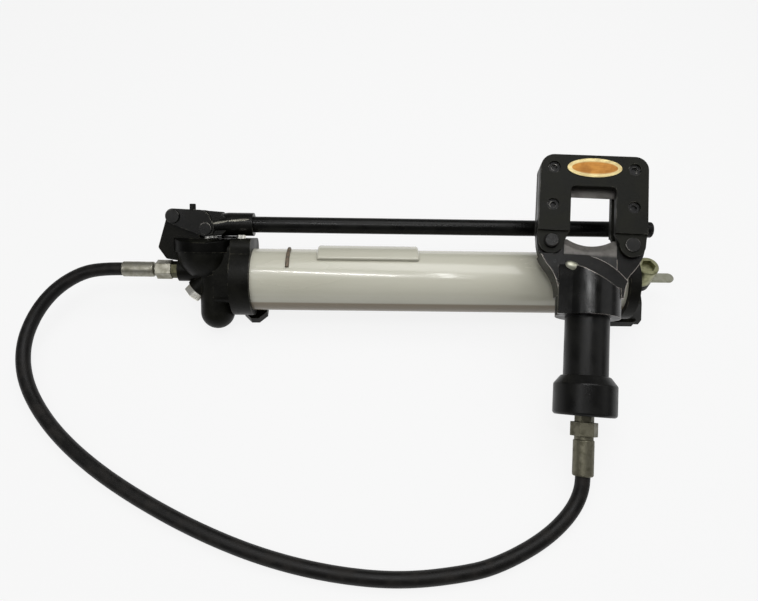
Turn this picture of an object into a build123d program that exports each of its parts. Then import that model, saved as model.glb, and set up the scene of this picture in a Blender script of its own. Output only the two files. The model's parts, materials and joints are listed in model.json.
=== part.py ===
from build123d import *
import os
from math import atan, cos, degrees, pi, radians, sin, sqrt, tan

# Hand-pumped hydraulic conductor cutter: a lever pump with a long tube reservoir,
# a hose, and a guillotine cutting head that lies across the reservoir.
# Millimetres. X runs along the reservoir from pump head to end cap, Z is up,
# and the origin is on the floor, midway between the two feet.

# Fits
RUN_CLEARANCE = 0.05
SEAT_GAP = 0.2
SLIDE_GAP = 0.3

# Reservoir tube
TUBE_AXIS_HEIGHT = 47.0
TUBE_RADIUS = 35.0
TUBE_WALL = 3.0
TUBE_LENGTH = 416.0
SPIGOT_LENGTH = 12.0
ORING_SECTION = 3.0

# Pump head casting, which leans back about the tube's axis
HEAD_LEAN = 50.0
FLANGE_RADIUS = 41.0
FLANGE_THICKNESS = 22.0
FLANGE_CREST_WIDTH = 56.0
FLANGE_CREST_HEIGHT = 46.5
FLANGE_CREST_CORNER = 10.0
FOOT_LENGTH = 27.0
FOOT_WIDTH = 60.0
FOOT_HEIGHT = 10.0
FOOT_INSET = 11.0
FOOT_CHAMFER = 9.0
FOOT_BOLT_SPAN = 40.0
FOOT_BOLT_RADIUS = 3.3
FOOT_BOLT_DEPTH = 8.0
BARREL_OFFSET = 50.0
BARREL_TOP = 45.5
COLLAR_RADIUS = 19.0
CROWN_BULGE = 0.8
RIM_TOP = 42.0
RIM_RADIUS = 35.0
RIM_THICKNESS = 11.0
RIM_SHIFT = 4.0
BELL_NECK_RADIUS = 18.0
BELL_NECK_HEIGHT = 4.0
BELL_LIP = 2.0
BELL_BULGE_IN = 6.0
BELL_BULGE_DOWN = 15.0
LOBE_RADIUS = 19.0
LOBE_REACH = 57.0
LOBE_SHIFT = 7.5
LOBE_TOP = 6.0
WEB_WIDTH = 44.0
WEB_BOTTOM = -26.0
WEB_TOP = 41.0
WEB_CORNER = 8.0
LUG_EYE_RADIUS = 8.0
LUG_CORNER = 3.5
LUG_BACK_SHIFT = 15.0
LUG_BACK_HEIGHT = 36.0
LUG_LOW_SHIFT = 8.0
LUG_LOW_HEIGHT = 26.0
LUG_ROOT_RADIUS = 14.0
LUG_ROOT_SHIFT = 26.0
LUG_ROOT_HEIGHT = 31.5

# Plunger, gland and valves
PLUNGER_RADIUS = 8.0
PLUNGER_BOTTOM = -10.0
BORE_BOTTOM = -13.0
PLUNGER_EYE_RADIUS = 9.0
PLUNGER_HEAD_WIDTH = 17.0
GLAND_RADIUS = 13.0
GLAND_DEPTH = 11.0
GLAND_PROUD = 1.0
SEAL_HEIGHT = 4.0
OUTLET_HEIGHT = 10.0
OUTLET_BOSS_RADIUS = 13.0
OUTLET_BORE_RADIUS = 6.5
OUTLET_BORE_DEPTH = 20.0
OUTLET_FACE_OFFSET = 85.0
BALL_RADIUS = 4.5
SUCTION_BALL_RADIUS = 3.5
PASSAGE_RADIUS = 2.0
SUCTION_HEIGHT = -17.0
SUCTION_PIPE_RADIUS = 4.5
SUCTION_PIPE_BORE = 2.5
SUCTION_PIPE_LENGTH = 62.0
STRAINER_RADIUS = 7.0
STRAINER_LENGTH = 24.0
VALVE_BOSS_RADIUS = 12.5
VALVE_HEX = 20.0
VALVE_HEAD = 9.0
VALVE_STEM_RADIUS = 5.0
VALVE_STEM_LENGTH = 5.0
VALVE_REACH = 22.0
VALVE_HEIGHT = 3.0
VALVE_SPOT_GAP = 0.8
HEX_CHAMFER = 1.0
VENT_HEX = 8.0
VENT_INSET = 10.0
VENT_HEAD = 4.0

# Lever
LEVER_AXIS_HEIGHT = 62.0
LEVER_TUBE_RADIUS = 9.0
LEVER_TUBE_WALL = 2.5
LEVER_TUBE_LENGTH = 478.0
LEVER_SOCKET_RADIUS = 13.0
LEVER_SOCKET_DEPTH = 28.0
LEVER_SWING = 40.0
LEVER_ARM = 38.0
LEVER_WIDTH = 28.0
LEVER_SHOULDER_RADIUS = 12.5
LEVER_SHOULDER_SHIFT = 7.0
LEVER_SHOULDER_HEIGHT = 65.0
LEVER_HORN_RADIUS = 12.3
LEVER_HORN_SHIFT = 8.0
LEVER_HORN_HEIGHT = 58.5
FORK_ROOM = 6.0
PIN_EYE_HEIGHT = 57.0
FULCRUM_PIN_RADIUS = 5.0
FULCRUM_EYE_RADIUS = 8.5
PLUNGER_PIN_RADIUS = 4.0
PLUNGER_PIN_PLAY = 0.25
PIN_HEAD = 2.0
PIN_HEAD_LIP = 2.5
LEVER_PLUG_LENGTH = 10.0
LEVER_PLUG_CAP = 3.0
LEVER_PLUG_ROUND = 2.0

# Things on the reservoir and its end cap
SADDLE_START = 72.5
SADDLE_LENGTH = 113.0
SADDLE_RISE = 4.5
SADDLE_ROUND = 2.7
SADDLE_HALF_ANGLE = 47.0
CLIP_START = 38.5
CLIP_WIDTH = 4.0
CLIP_RISE = 3.0
CLIP_ROUND = 1.6
CLIP_MIDDLE = 14.0
CLIP_HALF_ANGLE = 26.0
CAP_DISC_LENGTH = 12.0
CAP_BLOCK_LENGTH = 26.0
CAP_BLOCK_WIDTH = 54.0
CAP_BLOCK_TOP = 58.0
CAP_BLOCK_SLOPE = 18.0
CAP_CORNER = 14.0
TIE_ROD_DROP = 13.0
TIE_ROD_RADIUS = 5.0
TIE_NUT_HEX = 17.0
TIE_NUT_HEIGHT = 8.0
TIE_NUT_SEAT = 2.0
TIE_NUT_ROOM = 1.0
TIE_ROD_PROUD = 2.0
PLUG_OFFSET = 12.0
PLUG_BOSS_RADIUS = 12.5
PLUG_BOSS_DEPTH = 12.0
PLUG_BOSS_TAPER = 4.0
PLUG_RADIUS = 12.0
PLUG_HEAD = 22.0
PLUG_SOCKET = 14.0
PLUG_SOCKET_DEPTH = 6.0
PLUG_SHANK_RADIUS = 8.0
PLUG_SHANK_LENGTH = 10.0
TAB_THICKNESS = 2.0
TAB_REACH = 38.0
TAB_WIDTH = 12.0

# Hose and its fittings
HOSE_DIAMETER = 15.0
ARC_SHARE = 0.45
PUMP_LEAD = 28.0
CUTTER_LEAD = 20.0
ADAPTOR_HEX = 17.0
ADAPTOR_SPIGOT = 6.0
CONE_RADIUS = 6.0
CONE_LENGTH = 9.0
NIPPLE_RADIUS = 4.5
NIPPLE_BORE = 2.5
NIPPLE_STEM = 3.0
FERRULE_LENGTH = 36.0
FERRULE_CHAMFER = 1.2
PUMP_ADAPTOR_LENGTH = 8.0
PUMP_NUT_HEX = 19.0
PUMP_NUT_LENGTH = 17.0
PUMP_FERRULE_RADIUS = 8.6
CUTTER_ADAPTOR_LENGTH = 6.0
CUTTER_NUT_HEX = 24.0
CUTTER_NUT_LENGTH = 14.0
CUTTER_FERRULE_RADIUS = 10.4

# Cutting head: its place, and its lean against the reservoir
CUTTER_X = 140.8
CUTTER_Y = -163.4
CUTTER_TILT = 24.0
CUTTER_YAW = 4.5
CUTTER_ROLL = 5.0

# Cutting head cylinder, measured along the head from its bottom face
CAP_RADIUS = 31.5
CAP_HEIGHT = 31.0
CAP_CONE = 9.0
CAP_FLOOR = 7.0
CAP_EDGE = 2.0
CYLINDER_RADIUS = 22.3
CYLINDER_BORE = 17.0
CYLINDER_TOP = 112.0
PISTON_START = 10.0
PISTON_HEIGHT = 14.0
PISTON_SEAL_HEIGHT = 5.0
PISTON_SEAL_DEPTH = 3.5
ROD_RADIUS = 11.0
ROD_TENON_RADIUS = 6.0
ROD_TENON_LENGTH = 8.0
BUSH_RADIUS = 14.0
BUSH_LENGTH = 14.0
WIPER_LENGTH = 3.0
SPRING_WIRE = 3.0
SPRING_RADIUS = 14.0
SPRING_TURNS = 5

# Yoke, frame and pins
BARREL_RADIUS = 32.5
BARREL_SEAT = 12.0
BARREL_FRONT_LENGTH = 30.0
BARREL_BACK_LENGTH = 50.0
FLARE_DROP = 60.0
FLARE_ABOVE_PIN = 3.0
SLOT_FLOOR = 3.0
RIDGE_START_U = -4.0
RIDGE_MIDDLE_U = 24.0
RIDGE_MIDDLE_DROP = 13.0
RIDGE_END_U = 42.0
RIDGE_END_DROP = 34.0
PAD_RISE = 5.0
PAD_LEFT_DROP = 12.5
PAD_TURN_U = -14.0
PAD_TURN_DROP = 15.0
PAD_END_U = 26.0
PAD_END_DROP = 35.0
FRAME_WIDTH = 110.0
FRAME_THICKNESS = 28.0
CORE_THICKNESS = 11.0
FRAME_HEIGHT = 83.0
FRAME_CORNER = 14.0
OPENING_WIDTH = 46.0
OPENING_HEIGHT = 49.0
OPENING_CORNER = 4.0
GUIDE_GAP = 54.0
SPACER_HEIGHT = 21.0
PIN_ABOVE_SLOT = 45.0
PIN_TO_FRAME = 11.0
PIN_SPAN = 82.0
FRAME_PIN_RADIUS = 6.0
FRAME_LUG_RADIUS = 13.0
FRAME_LUG_STEP = 3.0
FRAME_LUG_GAP = 1.0
PIN_CAP = 1.5
SCREW_RADIUS = 4.0
SCREW_HEAD_RADIUS = 6.0
SCREW_HEAD = 4.0
SCREW_SINK = 2.5
SCREW_SOCKET = 6.0
SCREW_SOCKET_DEPTH = 2.5
SCREW_INSET = 14.0
SCREW_SPACING = 41.0
LOCK_KNOB_RADIUS = 7.5
LOCK_KNOB_LENGTH = 5.0
OVAL_HALF_LENGTH = 28.0
OVAL_HALF_HEIGHT = 10.5
OVAL_THICKNESS = 0.8

# Blades
BLADE_GAP = 0.05
BLADE_HEIGHT = 29.5
BLADE_HOLLOW = 6.5
BEVEL_DEPTH = 4.0
BEVEL_HEIGHT = 7.0
HOLDER_GAP = 2.0
HOLDER_HEIGHT = 22.0
HOLDER_LAP = 10.0
FIXED_BLADE_SHOW = 8.0
BLADE_SCREW_RADIUS = 2.5
BLADE_SCREW_HEAD = 4.5
BLADE_SCREW_SINK = 2.5
BLADE_SCREW_SPAN = 30.0

# Places that follow from the sizes above
lean = radians(HEAD_LEAN)
lean_up = (0, sin(lean), cos(lean))
tube_start = -TUBE_LENGTH / 2
tube_end = TUBE_LENGTH / 2
tube_bore = TUBE_RADIUS - TUBE_WALL
flange_start = tube_start - FLANGE_THICKNESS
barrel_x = tube_start - BARREL_OFFSET
rim_x = barrel_x - RIM_SHIFT
rim_bottom = RIM_TOP - RIM_THICKNESS
lobe_x = barrel_x + LOBE_SHIFT
foot_bolt_x = TUBE_LENGTH / 2 + FOOT_LENGTH / 2 - FOOT_INSET
outlet_face = tube_start - OUTLET_FACE_OFFSET
lever_gap = PLUNGER_HEAD_WIDTH + 2 * SLIDE_GAP
half_swing = radians(LEVER_SWING / 2)
pin_eye_x = barrel_x - LEVER_ARM * (1 - cos(half_swing)) / 2
fulcrum_x = pin_eye_x - LEVER_ARM * cos(half_swing)
fulcrum_height = PIN_EYE_HEIGHT + LEVER_ARM * sin(half_swing)
cap_disc_end = tube_end + CAP_DISC_LENGTH
cap_end = cap_disc_end + CAP_BLOCK_LENGTH
plug_x = cap_disc_end + PLUG_OFFSET
nut_seat = cap_disc_end + TIE_NUT_SEAT
axis_centre = (0, 0, TUBE_AXIS_HEIGHT)

# Directions of the cutting head: along its ram, to its right and out of its front face
tilt = radians(CUTTER_TILT)
yaw = radians(CUTTER_YAW)
roll = radians(CUTTER_ROLL)
cutter_axis = Vector(sin(yaw) * cos(tilt), cos(yaw) * cos(tilt), sin(tilt))
level_right = Vector(cos(yaw), -sin(yaw), 0)
level_front = level_right.cross(cutter_axis)
cutter_right = level_right * cos(roll) + level_front * sin(roll)
cutter_front = level_front * cos(roll) - level_right * sin(roll)

# The barrel's back rests on the reservoir
rest_distance = TUBE_RADIUS + BARREL_RADIUS + SEAT_GAP
cross_reach = sqrt(cutter_axis.Y ** 2 + cutter_axis.Z ** 2)
cutter_z = TUBE_AXIS_HEIGHT + (rest_distance * cross_reach + CUTTER_Y * cutter_axis.Z) / cutter_axis.Y
cutter_foot = Vector(CUTTER_X, CUTTER_Y, cutter_z)
ram_axis = Axis(cutter_foot, cutter_axis)
core_half = CORE_THICKNESS / 2
frame_half = FRAME_THICKNESS / 2

# Heights along the cutting head, from the top of its cylinder
barrel_start = CYLINDER_TOP - BARREL_SEAT
barrel_front_end = barrel_start + BARREL_FRONT_LENGTH
barrel_back_end = barrel_start + BARREL_BACK_LENGTH
slot_bottom = CYLINDER_TOP + BUSH_LENGTH + WIPER_LENGTH + SLOT_FLOOR
holder_bottom = slot_bottom + HOLDER_GAP
holder_top = holder_bottom + HOLDER_HEIGHT
lap_bottom = holder_top - HOLDER_LAP
blade_edge = lap_bottom + BLADE_HEIGHT
blade_tips = blade_edge + BLADE_HOLLOW
pin_height = slot_bottom + PIN_ABOVE_SLOT
cheek_top = pin_height - FRAME_LUG_RADIUS - FRAME_LUG_GAP
frame_bottom = pin_height + PIN_TO_FRAME
frame_top = frame_bottom + FRAME_HEIGHT
opening_top = frame_bottom + OPENING_HEIGHT
spacer_bottom = frame_top - SPACER_HEIGHT
fixed_edge = opening_top - FIXED_BLADE_SHOW
screw_high = frame_top - SCREW_INSET
screw_low = screw_high - SCREW_SPACING
flare_end = pin_height + FLARE_ABOVE_PIN
flare_start = flare_end - FLARE_DROP


def head_point(x, height):
    """A point of the pump head at a height along the plunger's direction from the tube's axis."""
    return Vector(x, sin(lean) * height, TUBE_AXIS_HEIGHT + cos(lean) * height)


def square_to_plunger(x, height):
    """Plane across the plunger's direction: X to the right, local Y to the back."""
    return Plane(origin=head_point(x, height), x_dir=(1, 0, 0), z_dir=lean_up)


def square_to_tube(x):
    """Plane across the tube, upright: local X to the back, local Y up."""
    return Plane(origin=(x, 0, TUBE_AXIS_HEIGHT), x_dir=(0, 1, 0), z_dir=(1, 0, 0))


def square_to_tube_leaning(x):
    """Plane across the tube, leaning with the pump head: local Y along the plunger."""
    return Plane(origin=(x, 0, TUBE_AXIS_HEIGHT), x_dir=(0, cos(lean), -sin(lean)), z_dir=(1, 0, 0))


def across_cutter(height):
    """Plane across the cutting head: local X to its right, local Y out of its back."""
    return Plane(origin=cutter_foot + cutter_axis * height, x_dir=cutter_right, z_dir=cutter_axis)


def along_cutter(depth):
    """Plane facing out of the cutting head's front: local X to its right, local Y along the ram."""
    return Plane(origin=cutter_foot + cutter_front * depth, x_dir=cutter_right, z_dir=cutter_front)


swing_plane = Plane(origin=axis_centre, x_dir=(1, 0, 0), z_dir=(0, -cos(lean), sin(lean)))
plunger_axis = Axis(head_point(barrel_x, 0), lean_up)
rim_axis = Axis(head_point(rim_x, 0), lean_up)
lobe_axis = Axis(head_point(lobe_x, 0), lean_up)

# Direction of the release valve: out of the casting's lower left shoulder
valve_direction = Vector(-1, 0, 0) + Vector(*lean_up) * -1
valve_seat = head_point(barrel_x, VALVE_HEIGHT) + valve_direction.normalized() * VALVE_REACH
valve_plane = Plane(origin=valve_seat, x_dir=(0, cos(lean), -sin(lean)), z_dir=valve_direction.normalized())


def save(part, name):
    """Label a finished piece and write it as the node of that name."""
    part.label = name
    export_step(part, f"parts/{name}.step")


os.makedirs("parts", exist_ok=True)

# Pump body: bell, rim, lobe foot, web, reservoir flange and fulcrum lug in one casting
with BuildPart() as pump_body:
    with BuildSketch(swing_plane):
        with BuildLine():
            Line((rim_x, BELL_NECK_HEIGHT), (rim_x, BARREL_TOP))
            collar_edge = (rim_x + COLLAR_RADIUS, BARREL_TOP)
            rim_edge = (rim_x + RIM_RADIUS, RIM_TOP)
            crown_middle = (
                rim_x + (COLLAR_RADIUS + RIM_RADIUS) / 2,
                (BARREL_TOP + RIM_TOP) / 2 + CROWN_BULGE,
            )
            Line((rim_x, BARREL_TOP), collar_edge)
            ThreePointArc(collar_edge, crown_middle, rim_edge)
            Line(rim_edge, (rim_x + RIM_RADIUS, rim_bottom))
            bell_top = (rim_x + RIM_RADIUS - BELL_LIP, rim_bottom)
            Line((rim_x + RIM_RADIUS, rim_bottom), bell_top)
            bell_middle = (rim_x + RIM_RADIUS - BELL_BULGE_IN, rim_bottom - BELL_BULGE_DOWN)
            ThreePointArc(bell_top, bell_middle, (rim_x + BELL_NECK_RADIUS, BELL_NECK_HEIGHT))
            Line((rim_x + BELL_NECK_RADIUS, BELL_NECK_HEIGHT), (rim_x, BELL_NECK_HEIGHT))
        make_face()
    revolve(axis=rim_axis)
    with BuildSketch(swing_plane):
        with BuildLine():
            lobe_tip = (lobe_x, -LOBE_REACH)
            lobe_side = (lobe_x + LOBE_RADIUS, LOBE_RADIUS - LOBE_REACH)
            RadiusArc(lobe_tip, lobe_side, -LOBE_RADIUS)
            Line(lobe_side, (lobe_x + LOBE_RADIUS, LOBE_TOP))
            Line((lobe_x + LOBE_RADIUS, LOBE_TOP), (lobe_x, LOBE_TOP))
            Line((lobe_x, LOBE_TOP), lobe_tip)
        make_face()
    revolve(axis=lobe_axis)
    with BuildSketch(square_to_tube(flange_start)):
        Circle(FLANGE_RADIUS)
    extrude(amount=FLANGE_THICKNESS)
    with BuildSketch(square_to_tube_leaning(flange_start)):
        with Locations((0, FLANGE_CREST_HEIGHT / 2)):
            RectangleRounded(FLANGE_CREST_WIDTH, FLANGE_CREST_HEIGHT, FLANGE_CREST_CORNER)
    extrude(amount=FLANGE_THICKNESS)
    with BuildSketch(square_to_tube_leaning(lobe_x)):
        with Locations((0, (WEB_TOP + WEB_BOTTOM) / 2)):
            RectangleRounded(WEB_WIDTH, WEB_TOP - WEB_BOTTOM, WEB_CORNER)
    extrude(until=Until.NEXT)
    with BuildSketch(Plane.XY.offset(FOOT_HEIGHT)):
        with Locations((-foot_bolt_x, 0)):
            foot = Rectangle(FOOT_LENGTH, FOOT_WIDTH)
        chamfer(foot.vertices(), length=FOOT_CHAMFER)
    extrude(amount=-FOOT_HEIGHT)
    with BuildSketch(square_to_tube_leaning(outlet_face)):
        with Locations((0, OUTLET_HEIGHT)):
            Circle(OUTLET_BOSS_RADIUS)
    extrude(amount=barrel_x - outlet_face)
    with BuildSketch(swing_plane):
        with Locations((fulcrum_x, fulcrum_height)):
            Circle(LUG_EYE_RADIUS)
        with Locations((fulcrum_x - LUG_BACK_SHIFT, LUG_BACK_HEIGHT)):
            Circle(LUG_CORNER)
        with Locations((fulcrum_x - LUG_LOW_SHIFT, LUG_LOW_HEIGHT)):
            Circle(LUG_CORNER)
        with Locations((fulcrum_x + LUG_ROOT_SHIFT, LUG_ROOT_HEIGHT)):
            Circle(LUG_ROOT_RADIUS)
        make_hull()
    extrude(amount=PLUNGER_HEAD_WIDTH / 2, both=True)
    with BuildSketch(valve_plane):
        Circle(VALVE_BOSS_RADIUS)
    extrude(amount=-VALVE_REACH)
    with BuildSketch(valve_plane):
        Circle(VALVE_HEX / sqrt(3) + VALVE_SPOT_GAP)
    extrude(amount=VALVE_HEAD, mode=Mode.SUBTRACT)
    with BuildSketch(square_to_tube(tube_start)):
        Circle(tube_bore - RUN_CLEARANCE)
    extrude(amount=SPIGOT_LENGTH)
    with BuildSketch(square_to_tube(tube_start + SPIGOT_LENGTH / 2 - ORING_SECTION / 2)):
        Circle(tube_bore)
        Circle(tube_bore - ORING_SECTION, mode=Mode.SUBTRACT)
    extrude(amount=ORING_SECTION, mode=Mode.SUBTRACT)
    # Bores: plunger, gland, delivery, suction, release valve, tie rod, fulcrum pin, feet
    with BuildSketch(square_to_plunger(barrel_x, BARREL_TOP)):
        Circle(PLUNGER_RADIUS + RUN_CLEARANCE)
    extrude(amount=BORE_BOTTOM - BARREL_TOP, mode=Mode.SUBTRACT)
    with BuildSketch(square_to_plunger(barrel_x, PIN_EYE_HEIGHT)):
        Circle(GLAND_RADIUS)
    extrude(amount=BARREL_TOP - GLAND_DEPTH - PIN_EYE_HEIGHT, mode=Mode.SUBTRACT)
    with BuildSketch(square_to_tube_leaning(outlet_face)):
        with Locations((0, OUTLET_HEIGHT)):
            Circle(OUTLET_BORE_RADIUS)
    extrude(amount=OUTLET_BORE_DEPTH, mode=Mode.SUBTRACT)
    delivery_start = head_point(outlet_face + OUTLET_BORE_DEPTH - PASSAGE_RADIUS, OUTLET_HEIGHT)
    delivery_end = head_point(barrel_x, BORE_BOTTOM + PASSAGE_RADIUS)
    with BuildSketch(Plane(origin=delivery_start, z_dir=delivery_end - delivery_start)):
        Circle(PASSAGE_RADIUS)
    extrude(amount=(delivery_end - delivery_start).length, mode=Mode.SUBTRACT)
    with BuildSketch(square_to_tube_leaning(tube_start + SPIGOT_LENGTH)):
        with Locations((0, SUCTION_HEIGHT)):
            Circle(SUCTION_PIPE_RADIUS)
    extrude(amount=-SPIGOT_LENGTH - FLANGE_THICKNESS, mode=Mode.SUBTRACT)
    with BuildSketch(square_to_tube_leaning(flange_start)):
        with Locations((0, SUCTION_HEIGHT)):
            Circle(PASSAGE_RADIUS)
    extrude(amount=barrel_x - flange_start, mode=Mode.SUBTRACT)
    with BuildSketch(square_to_plunger(barrel_x, BORE_BOTTOM)):
        Circle(PASSAGE_RADIUS)
    extrude(amount=SUCTION_HEIGHT - BORE_BOTTOM, mode=Mode.SUBTRACT)
    with BuildSketch(valve_plane):
        Circle(VALVE_STEM_RADIUS + RUN_CLEARANCE)
    extrude(amount=-VALVE_STEM_LENGTH - SLIDE_GAP, mode=Mode.SUBTRACT)
    with BuildSketch(square_to_tube(tube_start + SPIGOT_LENGTH)):
        with Locations((0, -TIE_ROD_DROP)):
            Circle(TIE_ROD_RADIUS)
    extrude(amount=-SPIGOT_LENGTH - FLANGE_THICKNESS / 2, mode=Mode.SUBTRACT)
    with BuildSketch(swing_plane):
        with Locations((fulcrum_x, fulcrum_height)):
            Circle(FULCRUM_PIN_RADIUS)
    extrude(amount=PLUNGER_HEAD_WIDTH, both=True, mode=Mode.SUBTRACT)
    with BuildSketch(Plane.XY):
        with Locations((-foot_bolt_x, 0)):
            with GridLocations(0, FOOT_BOLT_SPAN, 1, 2):
                Circle(FOOT_BOLT_RADIUS)
    extrude(amount=FOOT_BOLT_DEPTH, mode=Mode.SUBTRACT)
save(pump_body.part, "pump_body")

# Plunger with its slotted head, and what seals it
with BuildPart() as plunger:
    with BuildSketch(square_to_plunger(barrel_x, PLUNGER_BOTTOM)):
        Circle(PLUNGER_RADIUS)
    extrude(amount=PIN_EYE_HEIGHT - PLUNGER_BOTTOM)
    with BuildSketch(swing_plane):
        with Locations((barrel_x, PIN_EYE_HEIGHT)):
            Circle(PLUNGER_EYE_RADIUS)
    extrude(amount=PLUNGER_HEAD_WIDTH / 2, both=True)
    slot_height = 2 * (PLUNGER_PIN_RADIUS + PLUNGER_PIN_PLAY)
    slot_length = slot_height + LEVER_ARM * (1 - cos(half_swing))
    with BuildSketch(swing_plane):
        with Locations((barrel_x, PIN_EYE_HEIGHT)):
            SlotOverall(slot_length, slot_height)
    extrude(amount=PLUNGER_HEAD_WIDTH, both=True, mode=Mode.SUBTRACT)
save(plunger.part, "plunger")

with BuildPart() as gland_nut:
    with BuildSketch(square_to_plunger(barrel_x, BARREL_TOP - GLAND_DEPTH + SEAL_HEIGHT)):
        Circle(GLAND_RADIUS - RUN_CLEARANCE)
        Circle(PLUNGER_RADIUS + RUN_CLEARANCE, mode=Mode.SUBTRACT)
    extrude(amount=GLAND_DEPTH - SEAL_HEIGHT + GLAND_PROUD)
save(gland_nut.part, "gland_nut")

with BuildPart() as plunger_seal:
    with BuildSketch(square_to_plunger(barrel_x, BARREL_TOP - GLAND_DEPTH)):
        Circle(GLAND_RADIUS - RUN_CLEARANCE)
        Circle(PLUNGER_RADIUS + RUN_CLEARANCE, mode=Mode.SUBTRACT)
    extrude(amount=SEAL_HEIGHT)
save(plunger_seal.part, "plunger_seal")

# Lever: a forked casting on the fulcrum pin, with a round horn that holds the tube
socket_start = tube_start - LEVER_SOCKET_DEPTH
with BuildPart() as lever_casting:
    with BuildSketch(swing_plane):
        with Locations((fulcrum_x, fulcrum_height)):
            Circle(FULCRUM_EYE_RADIUS)
        with Locations((pin_eye_x, PIN_EYE_HEIGHT)):
            Circle(PLUNGER_EYE_RADIUS)
        with Locations((pin_eye_x - LEVER_SHOULDER_SHIFT, LEVER_SHOULDER_HEIGHT)):
            Circle(LEVER_SHOULDER_RADIUS)
        make_hull()
    extrude(amount=LEVER_WIDTH / 2, both=True)
    with BuildSketch(square_to_tube_leaning(pin_eye_x - LEVER_HORN_SHIFT)):
        with Locations((0, LEVER_HORN_HEIGHT)):
            Circle(LEVER_HORN_RADIUS)
    with BuildSketch(square_to_tube_leaning(socket_start)):
        with Locations((0, LEVER_AXIS_HEIGHT)):
            Circle(LEVER_SOCKET_RADIUS)
    loft()
    with BuildSketch(square_to_tube_leaning(socket_start)):
        with Locations((0, LEVER_AXIS_HEIGHT)):
            Circle(LEVER_SOCKET_RADIUS)
    extrude(amount=LEVER_SOCKET_DEPTH)
    fork_end = pin_eye_x + PLUNGER_EYE_RADIUS + FORK_ROOM
    fork_cut = 3 * LEVER_ARM
    with BuildSketch(swing_plane):
        with Locations((fork_end, LEVER_AXIS_HEIGHT)):
            Rectangle(fork_cut, fork_cut, align=(Align.MAX, Align.CENTER))
    extrude(amount=lever_gap / 2, both=True, mode=Mode.SUBTRACT)
    with BuildSketch(square_to_tube_leaning(tube_start)):
        with Locations((0, LEVER_AXIS_HEIGHT)):
            Circle(LEVER_TUBE_RADIUS)
    extrude(amount=-LEVER_SOCKET_DEPTH, mode=Mode.SUBTRACT)
    with BuildSketch(swing_plane):
        with Locations((fulcrum_x, fulcrum_height)):
            Circle(FULCRUM_PIN_RADIUS + RUN_CLEARANCE)
        with Locations((pin_eye_x, PIN_EYE_HEIGHT)):
            Circle(PLUNGER_PIN_RADIUS)
    extrude(amount=LEVER_WIDTH, both=True, mode=Mode.SUBTRACT)
save(lever_casting.part, "lever_casting")

with BuildPart() as lever_tube:
    with BuildSketch(square_to_tube_leaning(socket_start)):
        with Locations((0, LEVER_AXIS_HEIGHT)):
            Circle(LEVER_TUBE_RADIUS)
            Circle(LEVER_TUBE_RADIUS - LEVER_TUBE_WALL, mode=Mode.SUBTRACT)
    extrude(amount=LEVER_TUBE_LENGTH)
save(lever_tube.part, "lever_tube")

lever_end = socket_start + LEVER_TUBE_LENGTH
with BuildPart() as lever_end_plug:
    with BuildSketch(square_to_tube_leaning(lever_end - LEVER_PLUG_LENGTH)):
        with Locations((0, LEVER_AXIS_HEIGHT)):
            Circle(LEVER_TUBE_RADIUS - LEVER_TUBE_WALL)
    extrude(amount=LEVER_PLUG_LENGTH)
    with BuildSketch(square_to_tube_leaning(lever_end)):
        with Locations((0, LEVER_AXIS_HEIGHT)):
            Circle(LEVER_TUBE_RADIUS)
    extrude(amount=LEVER_PLUG_CAP)
    fillet(lever_end_plug.faces().sort_by(Axis.X)[-1].edges(), radius=LEVER_PLUG_ROUND)
save(lever_end_plug.part, "lever_end_plug")


def headed_pin(x, height, radius, span):
    """A cross pin with a flat head on each side of the lever."""
    with BuildPart() as pin:
        with BuildSketch(swing_plane):
            with Locations((x, height)):
                Circle(radius)
        extrude(amount=span / 2 + PIN_HEAD, both=True)
        with BuildSketch(swing_plane.offset(span / 2)):
            with Locations((x, height)):
                Circle(radius + PIN_HEAD_LIP)
        extrude(amount=PIN_HEAD)
        with BuildSketch(swing_plane.offset(-span / 2)):
            with Locations((x, height)):
                Circle(radius + PIN_HEAD_LIP)
        extrude(amount=-PIN_HEAD)
    return pin.part


fulcrum_span = LEVER_WIDTH + 2 * SLIDE_GAP
save(headed_pin(fulcrum_x, fulcrum_height, FULCRUM_PIN_RADIUS, fulcrum_span), "fulcrum_pin")
save(headed_pin(pin_eye_x, PIN_EYE_HEIGHT, PLUNGER_PIN_RADIUS, LEVER_WIDTH), "plunger_pin")

# Reservoir: tube, seals, tie rod, suction pipe and end cap
with BuildPart() as reservoir_tube:
    with BuildSketch(square_to_tube(tube_start)):
        Circle(TUBE_RADIUS)
        Circle(tube_bore, mode=Mode.SUBTRACT)
    extrude(amount=TUBE_LENGTH)
save(reservoir_tube.part, "reservoir_tube")

with BuildPart() as reservoir_orings:
    oring_radius = ORING_SECTION / 2 - RUN_CLEARANCE
    for oring_x in (tube_start + SPIGOT_LENGTH / 2, tube_end - SPIGOT_LENGTH / 2):
        with BuildSketch(Plane(origin=(oring_x, 0, TUBE_AXIS_HEIGHT), x_dir=(1, 0, 0), z_dir=(0, -1, 0))):
            with Locations((0, tube_bore - ORING_SECTION / 2)):
                Circle(oring_radius)
        revolve(axis=Axis((0, 0, TUBE_AXIS_HEIGHT), (1, 0, 0)))
save(reservoir_orings.part, "reservoir_orings")

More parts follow.
